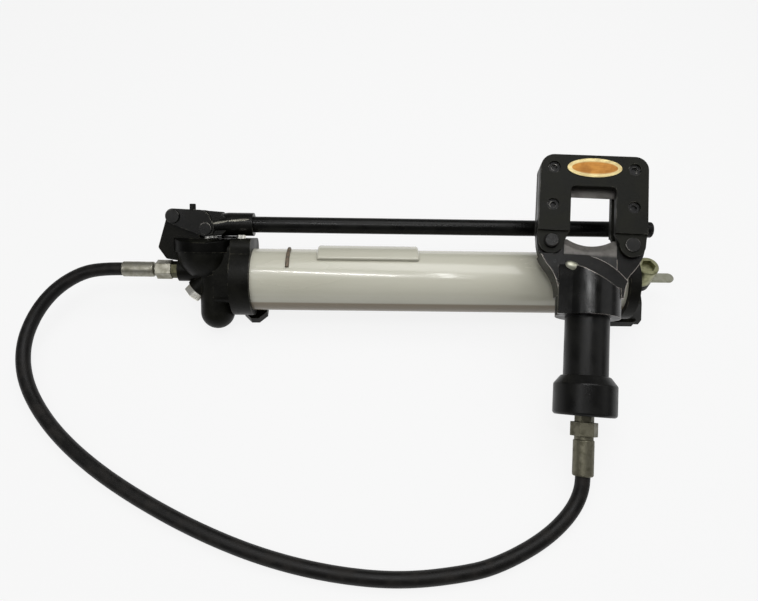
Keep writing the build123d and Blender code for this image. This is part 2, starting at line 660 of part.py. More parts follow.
with BuildPart() as end_cap:
    with BuildSketch(square_to_tube(tube_end)):
        Circle(FLANGE_RADIUS)
    extrude(amount=CAP_DISC_LENGTH)
    with BuildSketch(square_to_tube(tube_end)):
        Circle(tube_bore - RUN_CLEARANCE)
    extrude(amount=-SPIGOT_LENGTH)
    with BuildSketch(square_to_tube(cap_disc_end)):
        with Locations((0, CAP_BLOCK_TOP / 2 - TUBE_AXIS_HEIGHT)):
            block = Rectangle(CAP_BLOCK_WIDTH, CAP_BLOCK_TOP)
        fillet(block.vertices().group_by(Axis.Y)[-1], radius=CAP_CORNER)
    extrude(amount=CAP_BLOCK_LENGTH)
    with BuildSketch(Plane.XZ):
        Polygon(
            (cap_end, FOOT_HEIGHT),
            (cap_end, CAP_BLOCK_TOP),
            (cap_end - CAP_BLOCK_SLOPE, CAP_BLOCK_TOP),
            align=None,
        )
    extrude(amount=CAP_BLOCK_WIDTH, both=True, mode=Mode.SUBTRACT)
    with BuildSketch(Plane.XZ):
        boss_bottom = CAP_BLOCK_TOP - PLUG_BOSS_DEPTH
        Polygon(
            (plug_x, boss_bottom),
            (plug_x + PLUG_BOSS_RADIUS - PLUG_BOSS_TAPER, boss_bottom),
            (plug_x + PLUG_BOSS_RADIUS, boss_bottom + PLUG_BOSS_TAPER),
            (plug_x + PLUG_BOSS_RADIUS, CAP_BLOCK_TOP),
            (plug_x, CAP_BLOCK_TOP),
            align=None,
        )
    revolve(axis=Axis((plug_x, 0, 0), (0, 0, 1)))
    with BuildSketch(Plane.XY.offset(FOOT_HEIGHT)):
        with Locations(((tube_end - FOOT_INSET + cap_end) / 2, 0)):
            foot = Rectangle(cap_end - tube_end + FOOT_INSET, FOOT_WIDTH)
        chamfer(foot.vertices(), length=FOOT_CHAMFER)
    extrude(amount=-FOOT_HEIGHT)
    with BuildSketch(Plane.XY.offset(CAP_BLOCK_TOP)):
        with Locations((plug_x, 0)):
            Circle(PLUG_SHANK_RADIUS + RUN_CLEARANCE)
    extrude(amount=-PLUG_SHANK_LENGTH, mode=Mode.SUBTRACT)
    with BuildSketch(square_to_tube(tube_end - SPIGOT_LENGTH)):
        with Locations((0, CAP_BLOCK_TOP - PLUG_SHANK_LENGTH + 1.5 * PASSAGE_RADIUS - TUBE_AXIS_HEIGHT)):
            Circle(PASSAGE_RADIUS)
    extrude(amount=plug_x - tube_end + SPIGOT_LENGTH, mode=Mode.SUBTRACT)
    with BuildSketch(square_to_tube(tube_end - SPIGOT_LENGTH)):
        with Locations((0, -TIE_ROD_DROP)):
            Circle(TIE_ROD_RADIUS + RUN_CLEARANCE)
    extrude(amount=cap_end - tube_end + SPIGOT_LENGTH, mode=Mode.SUBTRACT)
    with BuildSketch(square_to_tube(nut_seat)):
        with Locations((0, -TIE_ROD_DROP)):
            Circle(TIE_NUT_HEX / sqrt(3) + TIE_NUT_ROOM)
    extrude(amount=cap_end - nut_seat, mode=Mode.SUBTRACT)
    with BuildSketch(square_to_tube(tube_end - SPIGOT_LENGTH / 2 - ORING_SECTION / 2)):
        Circle(tube_bore)
        Circle(tube_bore - ORING_SECTION, mode=Mode.SUBTRACT)
    extrude(amount=ORING_SECTION, mode=Mode.SUBTRACT)
    with BuildSketch(Plane.XY):
        with Locations((foot_bolt_x, 0)):
            with GridLocations(0, FOOT_BOLT_SPAN, 1, 2):
                Circle(FOOT_BOLT_RADIUS)
    extrude(amount=FOOT_BOLT_DEPTH, mode=Mode.SUBTRACT)
save(end_cap.part, "end_cap")

with BuildPart() as tie_rod:
    with BuildSketch(square_to_tube(tube_start - FLANGE_THICKNESS / 2)):
        with Locations((0, -TIE_ROD_DROP)):
            Circle(TIE_ROD_RADIUS)
    extrude(amount=nut_seat - tube_start + FLANGE_THICKNESS / 2 + TIE_NUT_HEIGHT + TIE_ROD_PROUD)
save(tie_rod.part, "tie_rod")

with BuildPart() as tie_rod_nut:
    with BuildSketch(square_to_tube(nut_seat)):
        with Locations((0, -TIE_ROD_DROP)):
            RegularPolygon(TIE_NUT_HEX / 2, 6, major_radius=False)
            Circle(TIE_ROD_RADIUS, mode=Mode.SUBTRACT)
    extrude(amount=TIE_NUT_HEIGHT)
save(tie_rod_nut.part, "tie_rod_nut")

with BuildPart() as suction_pipe:
    with BuildSketch(square_to_tube_leaning(tube_start)):
        with Locations((0, SUCTION_HEIGHT)):
            Circle(SUCTION_PIPE_RADIUS)
            Circle(SUCTION_PIPE_BORE, mode=Mode.SUBTRACT)
    extrude(amount=SUCTION_PIPE_LENGTH)
save(suction_pipe.part, "suction_pipe")

with BuildPart() as suction_strainer:
    with BuildSketch(square_to_tube_leaning(tube_start + SUCTION_PIPE_LENGTH - STRAINER_LENGTH)):
        with Locations((0, SUCTION_HEIGHT)):
            Circle(STRAINER_RADIUS)
            Circle(SUCTION_PIPE_RADIUS, mode=Mode.SUBTRACT)
    extrude(amount=STRAINER_LENGTH)
save(suction_strainer.part, "suction_strainer")

# Check balls in the suction and delivery ports
with BuildPart() as check_balls:
    with Locations(head_point(flange_start + SUCTION_BALL_RADIUS, SUCTION_HEIGHT)):
        Sphere(SUCTION_BALL_RADIUS)
    with Locations(head_point(outlet_face + OUTLET_BORE_DEPTH - BALL_RADIUS, OUTLET_HEIGHT)):
        Sphere(BALL_RADIUS)
save(check_balls.part, "check_balls")

with BuildPart() as release_valve:
    with BuildSketch(valve_plane.offset(SEAT_GAP)):
        RegularPolygon(VALVE_HEX / 2, 6, major_radius=False)
    extrude(amount=VALVE_HEAD)
    with BuildSketch(valve_plane.offset(SEAT_GAP)):
        Circle(VALVE_STEM_RADIUS)
    extrude(amount=-VALVE_STEM_LENGTH)
    chamfer(release_valve.faces().sort_by(Axis(valve_seat, valve_direction))[-1].edges(), length=HEX_CHAMFER)
save(release_valve.part, "release_valve")

with BuildPart() as vent_screw:
    with BuildSketch(square_to_plunger(tube_start - FLANGE_THICKNESS / 2, FLANGE_CREST_HEIGHT)):
        with Locations((0, VENT_INSET - FLANGE_CREST_WIDTH / 2)):
            RegularPolygon(VENT_HEX / 2, 6, major_radius=False)
    extrude(amount=VENT_HEAD)
save(vent_screw.part, "vent_screw")

plug_seat = CAP_BLOCK_TOP + TAB_THICKNESS + SEAT_GAP
with BuildPart() as filler_plug:
    with BuildSketch(Plane.XY.offset(plug_seat)):
        with Locations((plug_x, 0)):
            Circle(PLUG_RADIUS)
    extrude(amount=PLUG_HEAD)
    with BuildSketch(Plane.XY.offset(plug_seat)):
        with Locations((plug_x, 0)):
            Circle(PLUG_SHANK_RADIUS)
    extrude(amount=-PLUG_SHANK_LENGTH)
    chamfer(filler_plug.faces().sort_by(Axis.Z)[-1].edges(), length=HEX_CHAMFER)
    with BuildSketch(Plane.XY.offset(plug_seat + PLUG_HEAD)):
        with Locations((plug_x, 0)):
            RegularPolygon(PLUG_SOCKET / 2, 6, major_radius=False)
    extrude(amount=-PLUG_SOCKET_DEPTH, mode=Mode.SUBTRACT)
save(filler_plug.part, "filler_plug")

with BuildPart() as plug_tab:
    with BuildSketch(Plane.XY.offset(CAP_BLOCK_TOP)):
        with Locations((plug_x, 0)):
            Circle(PLUG_RADIUS)
        with Locations((plug_x + TAB_REACH / 2, 0)):
            SlotOverall(TAB_REACH, TAB_WIDTH)
        with Locations((plug_x, 0)):
            Circle(PLUG_SHANK_RADIUS + SEAT_GAP, mode=Mode.SUBTRACT)
    extrude(amount=TAB_THICKNESS)
save(plug_tab.part, "plug_tab")


def tube_sector(start, length, rise, rounding, first_angle, last_angle):
    """A strip bent over the tube between two angles from upright, towards the back."""
    reach = 2 * TUBE_RADIUS
    middle_angle = (first_angle + last_angle) / 2
    rays = [radians(first_angle), radians(middle_angle), radians(last_angle)]
    corners = [(0, 0)] + [(reach * sin(ray), reach * cos(ray)) for ray in rays]
    with BuildPart() as sector:
        with BuildSketch(square_to_tube(start)):
            Polygon(*corners, align=None)
            Circle(TUBE_RADIUS + rise, mode=Mode.INTERSECT)
            Circle(TUBE_RADIUS, mode=Mode.SUBTRACT)
        extrude(amount=length)
        outer_edges = sector.edges().filter_by(GeomType.CIRCLE).filter_by(
            lambda edge: edge.radius > TUBE_RADIUS + rise / 2
        )
        fillet(outer_edges, radius=rounding)
    return sector.part


saddle_angles = (HEAD_LEAN - SADDLE_HALF_ANGLE, HEAD_LEAN + SADDLE_HALF_ANGLE)
saddle = tube_sector(tube_start + SADDLE_START, SADDLE_LENGTH, SADDLE_RISE, SADDLE_ROUND, *saddle_angles)
save(saddle, "tube_saddle")
clip_angles = (CLIP_MIDDLE - CLIP_HALF_ANGLE, CLIP_MIDDLE + CLIP_HALF_ANGLE)
clip = tube_sector(tube_start + CLIP_START, CLIP_WIDTH, CLIP_RISE, CLIP_ROUND, *clip_angles)
save(clip, "tube_clip")


# Hose line: at each end an adaptor in the port, a swivel nut and a crimped ferrule
def hose_fitting(port, name, adaptor_length, nut_hex, nut_length, ferrule_radius):
    """Save the three pieces of one hose end, and give the middle of the ferrule's end face."""
    nut_start = port.offset(adaptor_length)
    with BuildPart() as adaptor:
        with BuildSketch(port):
            RegularPolygon(ADAPTOR_HEX / 2, 6, major_radius=False)
        extrude(amount=adaptor_length)
        with BuildSketch(port):
            Circle(OUTLET_BORE_RADIUS - RUN_CLEARANCE)
        extrude(amount=-ADAPTOR_SPIGOT)
        with BuildSketch(nut_start):
            Circle(CONE_RADIUS - RUN_CLEARANCE)
        extrude(amount=CONE_LENGTH)
        with BuildSketch(port.offset(-ADAPTOR_SPIGOT)):
            Circle(NIPPLE_BORE)
        extrude(amount=ADAPTOR_SPIGOT + adaptor_length + CONE_LENGTH, mode=Mode.SUBTRACT)
    save(adaptor.part, f"{name}_adaptor")
    with BuildPart() as swivel_nut:
        with BuildSketch(nut_start):
            RegularPolygon(nut_hex / 2, 6, major_radius=False)
        extrude(amount=nut_length)
        with BuildSketch(nut_start):
            Circle(CONE_RADIUS)
        extrude(amount=CONE_LENGTH, mode=Mode.SUBTRACT)
        with BuildSketch(nut_start):
            Circle(NIPPLE_RADIUS + RUN_CLEARANCE)
        extrude(amount=nut_length, mode=Mode.SUBTRACT)
    save(swivel_nut.part, f"{name}_swivel_nut")
    ferrule_start = nut_start.offset(nut_length + NIPPLE_STEM)
    with BuildPart() as ferrule:
        with BuildSketch(ferrule_start):
            Circle(ferrule_radius)
        extrude(amount=FERRULE_LENGTH)
        chamfer(ferrule.edges().filter_by(GeomType.CIRCLE), length=FERRULE_CHAMFER)
        with BuildSketch(nut_start.offset(CONE_LENGTH)):
            Circle(NIPPLE_RADIUS)
        extrude(amount=nut_length + NIPPLE_STEM - CONE_LENGTH)
        with BuildSketch(nut_start.offset(CONE_LENGTH)):
            Circle(NIPPLE_BORE)
        extrude(amount=nut_length + NIPPLE_STEM + FERRULE_LENGTH / 2 - CONE_LENGTH, mode=Mode.SUBTRACT)
    save(ferrule.part, f"{name}_ferrule")
    return ferrule_start.offset(FERRULE_LENGTH).origin


pump_port = Plane(origin=head_point(outlet_face, OUTLET_HEIGHT), x_dir=(0, 0, 1), z_dir=(-1, 0, 0))
pump_end = hose_fitting(
    pump_port, "pump", PUMP_ADAPTOR_LENGTH, PUMP_NUT_HEX, PUMP_NUT_LENGTH, PUMP_FERRULE_RADIUS
)
cutter_port = Plane(origin=cutter_foot, x_dir=cutter_right, z_dir=cutter_axis * -1)
cutter_end = hose_fitting(
    cutter_port, "cutter", CUTTER_ADAPTOR_LENGTH, CUTTER_NUT_HEX, CUTTER_NUT_LENGTH, CUTTER_FERRULE_RADIUS
)

# Hose: out of the pump to the left, down to the floor, round in front and into the cutting head
hose_points = [
    pump_end,
    pump_end + Vector(-PUMP_LEAD, 0, 0),
    Vector(-410.5, 0.5, 49.2),
    Vector(-434.5, -16.3, 41.7),
    Vector(-451.2, -41.5, 32.5),
    Vector(-458.5, -73.0, 23.0),
    Vector(-452.0, -106.5, 14.5),
    Vector(-431.5, -139.5, 9.0),
    Vector(-397.5, -174.5, 7.7),
    Vector(-351.0, -209.0, 7.7),
    Vector(-296.0, -240.5, 7.7),
    Vector(-236.5, -268.5, 7.7),
    Vector(-174.0, -291.0, 7.7),
    Vector(-109.0, -305.5, 7.7),
    Vector(-43.0, -311.0, 7.7),
    Vector(22.5, -303.5, 7.7),
    Vector(76.0, -288.0, 7.8),
    Vector(110.0, -271.5, 8.6),
    Vector(128.0, -253.5, 12.3),
    cutter_end - cutter_axis * CUTTER_LEAD,
    cutter_end,
]


def bend_radius(before, corner, after):
    """The largest arc that its two runs leave room for."""
    turn = (corner - before).get_angle(after - corner)
    shorter_run = min((corner - before).length, (after - corner).length)
    return ARC_SHARE * shorter_run / tan(radians(turn / 2))


hose_radii = [bend_radius(*corner) for corner in zip(hose_points, hose_points[1:], hose_points[2:])]
with BuildPart() as hose:
    with BuildLine() as hose_route:
        FilletPolyline(*hose_points, radius=hose_radii)
    with BuildSketch(Plane(origin=hose_points[0], z_dir=hose_points[1] - hose_points[0])):
        Circle(HOSE_DIAMETER / 2)
    sweep()
hose_length = hose_route.wire().length
hose_section = pi * (HOSE_DIAMETER / 2) ** 2
print("hose length", round(hose_length, 1), "bend radii", [round(radius) for radius in hose_radii])
print("hose volume against section times length", round(hose.part.volume / (hose_section * hose_length), 5))
save(hose.part, "hose")

# Cutting head cylinder: screwed cap, cylinder, ram with its seal, bush, wiper and return spring
cylinder_seat = CYLINDER_RADIUS + RUN_CLEARANCE
with BuildPart() as cylinder_cap:
    with BuildSketch(along_cutter(0)):
        with BuildLine():
            Polyline(
                (0, 0),
                (CAP_RADIUS - CAP_EDGE, 0),
                (CAP_RADIUS, CAP_EDGE),
                (CAP_RADIUS, CAP_HEIGHT),
                (cylinder_seat + CAP_EDGE, CAP_HEIGHT + CAP_CONE),
                (cylinder_seat, CAP_HEIGHT + CAP_CONE),
                (cylinder_seat, CAP_FLOOR),
                (0, CAP_FLOOR),
                close=True,
            )
        make_face()
    revolve(axis=ram_axis)
    with BuildSketch(across_cutter(0)):
        Circle(OUTLET_BORE_RADIUS)
    extrude(amount=CAP_FLOOR, mode=Mode.SUBTRACT)
save(cylinder_cap.part, "cylinder_cap")

with BuildPart() as cutter_cylinder:
    with BuildSketch(across_cutter(CAP_FLOOR)):
        Circle(CYLINDER_RADIUS)
        Circle(CYLINDER_BORE, mode=Mode.SUBTRACT)
    extrude(amount=CYLINDER_TOP - CAP_FLOOR)
save(cutter_cylinder.part, "cutter_cylinder")

piston_top = PISTON_START + PISTON_HEIGHT
seal_start = PISTON_START + (PISTON_HEIGHT - PISTON_SEAL_HEIGHT) / 2
piston_radius = CYLINDER_BORE - RUN_CLEARANCE
groove_radius = piston_radius - PISTON_SEAL_DEPTH
with BuildPart() as ram:
    with BuildSketch(across_cutter(PISTON_START)):
        Circle(piston_radius)
    extrude(amount=PISTON_HEIGHT)
    with BuildSketch(across_cutter(seal_start)):
        Circle(CYLINDER_BORE)
        Circle(groove_radius, mode=Mode.SUBTRACT)
    extrude(amount=PISTON_SEAL_HEIGHT, mode=Mode.SUBTRACT)
    with BuildSketch(across_cutter(piston_top)):
        Circle(ROD_RADIUS)
    extrude(amount=holder_bottom - piston_top)
    with BuildSketch(across_cutter(holder_bottom)):
        Circle(ROD_TENON_RADIUS)
    extrude(amount=ROD_TENON_LENGTH)
save(ram.part, "ram")

with BuildPart() as piston_seal:
    with BuildSketch(across_cutter(seal_start)):
        Circle(piston_radius)
        Circle(groove_radius, mode=Mode.SUBTRACT)
    extrude(amount=PISTON_SEAL_HEIGHT)
save(piston_seal.part, "piston_seal")

for ring_name, ring_start, ring_length in (
    ("rod_bush", CYLINDER_TOP, BUSH_LENGTH),
    ("rod_wiper", CYLINDER_TOP + BUSH_LENGTH, WIPER_LENGTH),
):
    with BuildPart() as rod_ring:
        with BuildSketch(across_cutter(ring_start)):
            Circle(BUSH_RADIUS)
            Circle(ROD_RADIUS + RUN_CLEARANCE, mode=Mode.SUBTRACT)
        extrude(amount=ring_length)
    save(rod_ring.part, ring_name)

spring_start = piston_top + SPRING_WIRE / 2 + SEAT_GAP
spring_end = CYLINDER_TOP - SPRING_WIRE / 2 - SEAT_GAP
half_rise = (spring_end - spring_start) / SPRING_TURNS / 2
side_reach = sqrt(SPRING_RADIUS ** 2 + (half_rise / 2) ** 2)
with BuildPart() as return_spring:
    with BuildLine(across_cutter(spring_start)) as coil:
        for half_turn in range(2 * SPRING_TURNS):
            side = 1 if half_turn % 2 == 0 else -1
            height = half_turn * half_rise
            ThreePointArc(
                (side * SPRING_RADIUS, 0, height),
                (0, side * side_reach, height + half_rise / 2),
                (-side * SPRING_RADIUS, 0, height + half_rise),
            )
    coil_wire = coil.wire()
    with BuildSketch(Plane(origin=coil_wire @ 0, z_dir=coil_wire % 0)):
        Circle(SPRING_WIRE / 2)
    sweep()
save(return_spring.part, "return_spring")

# Yoke: barrel, flared cheeks, and a tongue on each side that the frame is pinned to
half_width = FRAME_WIDTH / 2
half_guide = GUIDE_GAP / 2
half_opening = OPENING_WIDTH / 2
half_pins = PIN_SPAN / 2
pin_places = [(-half_pins, pin_height), (half_pins, pin_height)]
tongue_top = frame_bottom - SEAT_GAP
tongue_half = core_half - RUN_CLEARANCE
flare_spread = half_width - BARREL_RADIUS
flare_turn = degrees(2 * atan(flare_spread / FLARE_DROP))
flare_radius = (FLARE_DROP ** 2 + flare_spread ** 2) / (4 * flare_spread)
with BuildPart() as yoke:
    with BuildSketch(across_cutter(barrel_start)):
        Circle(BARREL_RADIUS)
    extrude(amount=BARREL_BACK_LENGTH)
    with BuildSketch(along_cutter(frame_half)):
        with Locations((0, barrel_front_end)):
            Rectangle(FRAME_WIDTH, FRAME_WIDTH, align=(Align.CENTER, Align.MIN))
    extrude(amount=BARREL_RADIUS, mode=Mode.SUBTRACT)
    with BuildSketch(along_cutter(0)):
        with BuildLine():
            flank_ends = []
            for side in (-1, 1):
                Line((side * half_width, tongue_top), (side * half_width, flare_end))
                shoulder = JernArc((side * half_width, flare_end), (0, -1), flare_radius, -side * flare_turn)
                waist = JernArc(shoulder @ 1, shoulder % 1, flare_radius, side * flare_turn)
                flank_ends.append(waist @ 1)
            Line(*flank_ends)
            Line((-half_width, tongue_top), (half_width, tongue_top))
        make_face()
    extrude(amount=frame_half, both=True)
    with BuildSketch(along_cutter(frame_half)):
        Polygon(
            (-BARREL_RADIUS, flare_start),
            (PAD_END_U, flare_start),
            (PAD_END_U, cheek_top - PAD_END_DROP),
            (PAD_TURN_U, cheek_top - PAD_TURN_DROP),
            (-BARREL_RADIUS, cheek_top - PAD_LEFT_DROP),
            align=None,
        )
    extrude(amount=PAD_RISE)
    # Slot for the blade holder, room for the frame's lugs, and the front cheek's falling ridge
    with BuildSketch(along_cutter(0)):
        with Locations((0, slot_bottom)):
            Rectangle(GUIDE_GAP, FRAME_WIDTH, align=(Align.CENTER, Align.MIN))
    extrude(amount=core_half, both=True, mode=Mode.SUBTRACT)
    for cheek_side in (1, -1):
        with BuildSketch(along_cutter(cheek_side * tongue_half)):
            with Locations((0, cheek_top)):
                Rectangle(2 * FRAME_WIDTH, FRAME_WIDTH, align=(Align.CENTER, Align.MIN))
        extrude(amount=cheek_side * BARREL_RADIUS, mode=Mode.SUBTRACT)
    with BuildSketch(along_cutter(tongue_half)):
        with BuildLine():
            ridge_start = (RIDGE_START_U, cheek_top)
            ridge_middle = (RIDGE_MIDDLE_U, cheek_top - RIDGE_MIDDLE_DROP)
            ridge_end = (RIDGE_END_U, cheek_top - RIDGE_END_DROP)
            ThreePointArc(ridge_start, ridge_middle, ridge_end)
            Polyline(
                ridge_end,
                (FRAME_WIDTH, cheek_top - RIDGE_END_DROP),
                (FRAME_WIDTH, frame_top),
                (RIDGE_START_U, frame_top),
                ridge_start,
            )
        make_face()
    extrude(amount=BARREL_RADIUS, mode=Mode.SUBTRACT)
    with BuildSketch(along_cutter(0)):
        with Locations(*pin_places):
            Circle(FRAME_PIN_RADIUS + RUN_CLEARANCE)
    extrude(amount=core_half, both=True, mode=Mode.SUBTRACT)
    with BuildSketch(across_cutter(barrel_start)):
        Circle(cylinder_seat)
    extrude(amount=BARREL_SEAT, mode=Mode.SUBTRACT)
    with BuildSketch(across_cutter(CYLINDER_TOP)):
        Circle(BUSH_RADIUS)
    extrude(amount=BUSH_LENGTH + WIPER_LENGTH, mode=Mode.SUBTRACT)
    with BuildSketch(across_cutter(CYLINDER_TOP)):
        Circle(ROD_RADIUS + RUN_CLEARANCE)
    extrude(amount=frame_bottom - CYLINDER_TOP, mode=Mode.SUBTRACT)
save(yoke.part, "yoke")

# Frame: two plates with guide bars, a spacer and the fixed blade between them
screw_places = [(side * half_pins, height) for side in (-1, 1) for height in (screw_low, screw_high)]
plate_thickness = frame_half - core_half
lug_thickness = plate_thickness - FRAME_LUG_STEP
lug_half = core_half + lug_thickness
screw_seat = frame_half - SCREW_SINK - SCREW_HEAD


def frame_plate(face):
    """One plate of the frame, 1 for the front and -1 for the back, with thinner lugs below it."""
    with BuildPart() as plate:
        with BuildSketch(along_cutter(face * core_half)):
            with Locations((0, frame_bottom)):
                outline = Rectangle(FRAME_WIDTH, FRAME_HEIGHT, align=(Align.CENTER, Align.MIN))
            fillet(outline.vertices().group_by(Axis.Y)[-1], radius=FRAME_CORNER)
            with Locations((0, opening_top)):
                opening_size = (OPENING_WIDTH, OPENING_HEIGHT + FRAME_LUG_RADIUS)
                RectangleRounded(
                    *opening_size, OPENING_CORNER, align=(Align.CENTER, Align.MAX), mode=Mode.SUBTRACT
                )
        extrude(amount=face * plate_thickness)
        with BuildSketch(along_cutter(face * core_half)):
            for side in (-1, 1):
                Polygon(
                    (side * half_opening, frame_bottom),
                    (side * half_width, frame_bottom),
                    (side * (half_pins + FRAME_LUG_RADIUS), pin_height),
                    (side * (half_pins - FRAME_LUG_RADIUS), pin_height),
                    align=None,
                )
            with Locations(*pin_places):
                Circle(FRAME_LUG_RADIUS)
            with Locations((0, frame_bottom)):
                Rectangle(OPENING_WIDTH, FRAME_HEIGHT, align=(Align.CENTER, Align.MAX), mode=Mode.SUBTRACT)
            with Locations((0, frame_bottom)):
                Rectangle(FRAME_WIDTH, FRAME_HEIGHT, align=(Align.CENTER, Align.MAX), mode=Mode.INTERSECT)
        extrude(amount=face * lug_thickness)
        with BuildSketch(along_cutter(face * core_half)):
            with Locations(*pin_places):
                Circle(FRAME_PIN_RADIUS + RUN_CLEARANCE)
            with Locations(*screw_places):
                Circle(SCREW_RADIUS + RUN_CLEARANCE)
        extrude(amount=face * plate_thickness, mode=Mode.SUBTRACT)
        if face > 0:
            with BuildSketch(along_cutter(screw_seat)):
                with Locations(*screw_places):
                    Circle(SCREW_HEAD_RADIUS + SEAT_GAP)
            extrude(amount=SCREW_HEAD + SCREW_SINK, mode=Mode.SUBTRACT)
    return plate.part


save(frame_plate(1), "frame_front_plate")
save(frame_plate(-1), "frame_back_plate")

frame_middle = (frame_bottom + frame_top) / 2
for side, name in ((-1, "guide_bar_left"), (1, "guide_bar_right")):
    with BuildPart() as guide_bar:
        with BuildSketch(along_cutter(0)):
            with Locations((side * (half_guide + half_width) / 2, frame_middle)):
                Rectangle(half_width - half_guide, FRAME_HEIGHT)
            with Locations((0, frame_middle)):
                RectangleRounded(FRAME_WIDTH, FRAME_HEIGHT, FRAME_CORNER, mode=Mode.INTERSECT)
            with Locations(*screw_places):
                Circle(SCREW_RADIUS + RUN_CLEARANCE, mode=Mode.SUBTRACT)
        extrude(amount=core_half, both=True)
    save(guide_bar.part, name)

with BuildPart() as top_spacer:
    with BuildSketch(along_cutter(0)):
        with Locations((0, spacer_bottom)):
            Rectangle(GUIDE_GAP, SPACER_HEIGHT, align=(Align.CENTER, Align.MIN))
    extrude(amount=core_half, both=True)
save(top_spacer.part, "top_spacer")

with BuildPart() as fixed_blade:
    with BuildSketch(along_cutter(-core_half)):
        with Locations((0, fixed_edge)):
            Rectangle(GUIDE_GAP, spacer_bottom - fixed_edge, align=(Align.CENTER, Align.MIN))
    extrude(amount=core_half - BLADE_GAP)
    back_face = fixed_blade.faces().sort_by(Axis(cutter_foot, cutter_front))[0]
    back_edge = back_face.edges().sort_by(ram_axis)[0]
    chamfer(back_edge, length=BEVEL_HEIGHT, length2=BEVEL_DEPTH, reference=back_face)
save(fixed_blade.part, "fixed_blade")

with BuildPart() as frame_screws:
    with BuildSketch(along_cutter(-frame_half)):
        with Locations(*screw_places):
            Circle(SCREW_RADIUS)
    extrude(amount=frame_half + screw_seat)
    with BuildSketch(along_cutter(screw_seat)):
        with Locations(*screw_places):
            Circle(SCREW_HEAD_RADIUS)
    extrude(amount=SCREW_HEAD)
    with BuildSketch(along_cutter(screw_seat + SCREW_HEAD)):
        with Locations(*screw_places):
            RegularPolygon(SCREW_SOCKET / 2, 6, major_radius=False)
    extrude(amount=-SCREW_SOCKET_DEPTH, mode=Mode.SUBTRACT)
save(frame_screws.part, "frame_screws")

with BuildPart() as hinge_pin:
    with BuildSketch(along_cutter(0)):
        with Locations((half_pins, pin_height)):
            Circle(FRAME_PIN_RADIUS)
    extrude(amount=lug_half, both=True)
    for cap_side in (-1, 1):
        with BuildSketch(along_cutter(cap_side * lug_half)):
            with Locations((half_pins, pin_height)):
                Circle(FRAME_PIN_RADIUS + PIN_CAP)
        extrude(amount=cap_side * PIN_CAP)
save(hinge_pin.part, "hinge_pin")

with BuildPart() as lock_pin:
    with BuildSketch(along_cutter(-lug_half)):
        with Locations((-half_pins, pin_height)):
            Circle(FRAME_PIN_RADIUS)
    extrude(amount=2 * lug_half + SEAT_GAP)
    with BuildSketch(along_cutter(lug_half + SEAT_GAP)):
        with Locations((-half_pins, pin_height)):
            Circle(LOCK_KNOB_RADIUS)
    extrude(amount=LOCK_KNOB_LENGTH)
    chamfer(lock_pin.faces().sort_by(Axis(cutter_foot, cutter_front))[-1].edges(), length=HEX_CHAMFER)
save(lock_pin.part, "lock_pin")

with BuildPart() as oval_plate:
    with BuildSketch(along_cutter(frame_half)):
        with Locations((0, screw_high)):
            Ellipse(OVAL_HALF_LENGTH, OVAL_HALF_HEIGHT)
    extrude(amount=OVAL_THICKNESS)
save(oval_plate.part, "oval_plate")

# Blade holder on the ram, with the moving blade screwed to its front
slide_half = half_guide - SLIDE_GAP
holder_half = core_half - 2 * RUN_CLEARANCE
lap_middle = (lap_bottom + holder_top) / 2
blade_arc_radius = (half_opening ** 2 + BLADE_HOLLOW ** 2) / (2 * BLADE_HOLLOW)
blade_screws_at = [(-BLADE_SCREW_SPAN / 2, lap_middle), (BLADE_SCREW_SPAN / 2, lap_middle)]
with BuildPart() as blade_holder:
    with BuildSketch(along_cutter(0)):
        with Locations((0, holder_bottom)):
            Rectangle(2 * slide_half, HOLDER_HEIGHT, align=(Align.CENTER, Align.MIN))
    extrude(amount=holder_half, both=True)
    with BuildSketch(along_cutter(0)):
        with Locations((0, lap_bottom)):
            Rectangle(GUIDE_GAP, HOLDER_LAP, align=(Align.CENTER, Align.MIN))
    extrude(amount=core_half, mode=Mode.SUBTRACT)
    with BuildSketch(across_cutter(holder_bottom)):
        Circle(ROD_TENON_RADIUS)
    extrude(amount=ROD_TENON_LENGTH, mode=Mode.SUBTRACT)
    with BuildSketch(along_cutter(-holder_half)):
        with Locations(*blade_screws_at):
            Circle(BLADE_SCREW_RADIUS)
    extrude(amount=holder_half, mode=Mode.SUBTRACT)
save(blade_holder.part, "blade_holder")

with BuildPart() as moving_blade:
    with BuildSketch(along_cutter(BLADE_GAP)):
        with Locations((0, lap_bottom)):
            Rectangle(2 * slide_half, blade_tips - lap_bottom, align=(Align.CENTER, Align.MIN))
        with Locations((0, blade_edge + blade_arc_radius)):
            Circle(blade_arc_radius, mode=Mode.SUBTRACT)
    extrude(amount=holder_half - BLADE_GAP)
    front_face = moving_blade.faces().sort_by(Axis(cutter_foot, cutter_front))[-1]
    edge_arc = front_face.edges().filter_by(GeomType.CIRCLE)
    chamfer(edge_arc, length=BEVEL_HEIGHT, length2=BEVEL_DEPTH, reference=front_face)
    with BuildSketch(along_cutter(0)):
        with Locations(*blade_screws_at):
            Circle(BLADE_SCREW_RADIUS)
    extrude(amount=core_half, mode=Mode.SUBTRACT)
    with BuildSketch(along_cutter(holder_half)):
        with Locations(*blade_screws_at):
            Circle(BLADE_SCREW_HEAD)
    extrude(amount=-BLADE_SCREW_SINK, mode=Mode.SUBTRACT)
save(moving_blade.part, "moving_blade")

with BuildPart() as blade_screws:
    with BuildSketch(along_cutter(-holder_half)):
        with Locations(*blade_screws_at):
            Circle(BLADE_SCREW_RADIUS)
    extrude(amount=2 * holder_half - BLADE_SCREW_SINK)
    with BuildSketch(along_cutter(holder_half)):
        with Locations(*blade_screws_at):
            Circle(BLADE_SCREW_HEAD)
    extrude(amount=-BLADE_SCREW_SINK)
save(blade_screws.part, "blade_screws")
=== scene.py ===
import json
import math

import bpy
from mathutils import Matrix, Vector


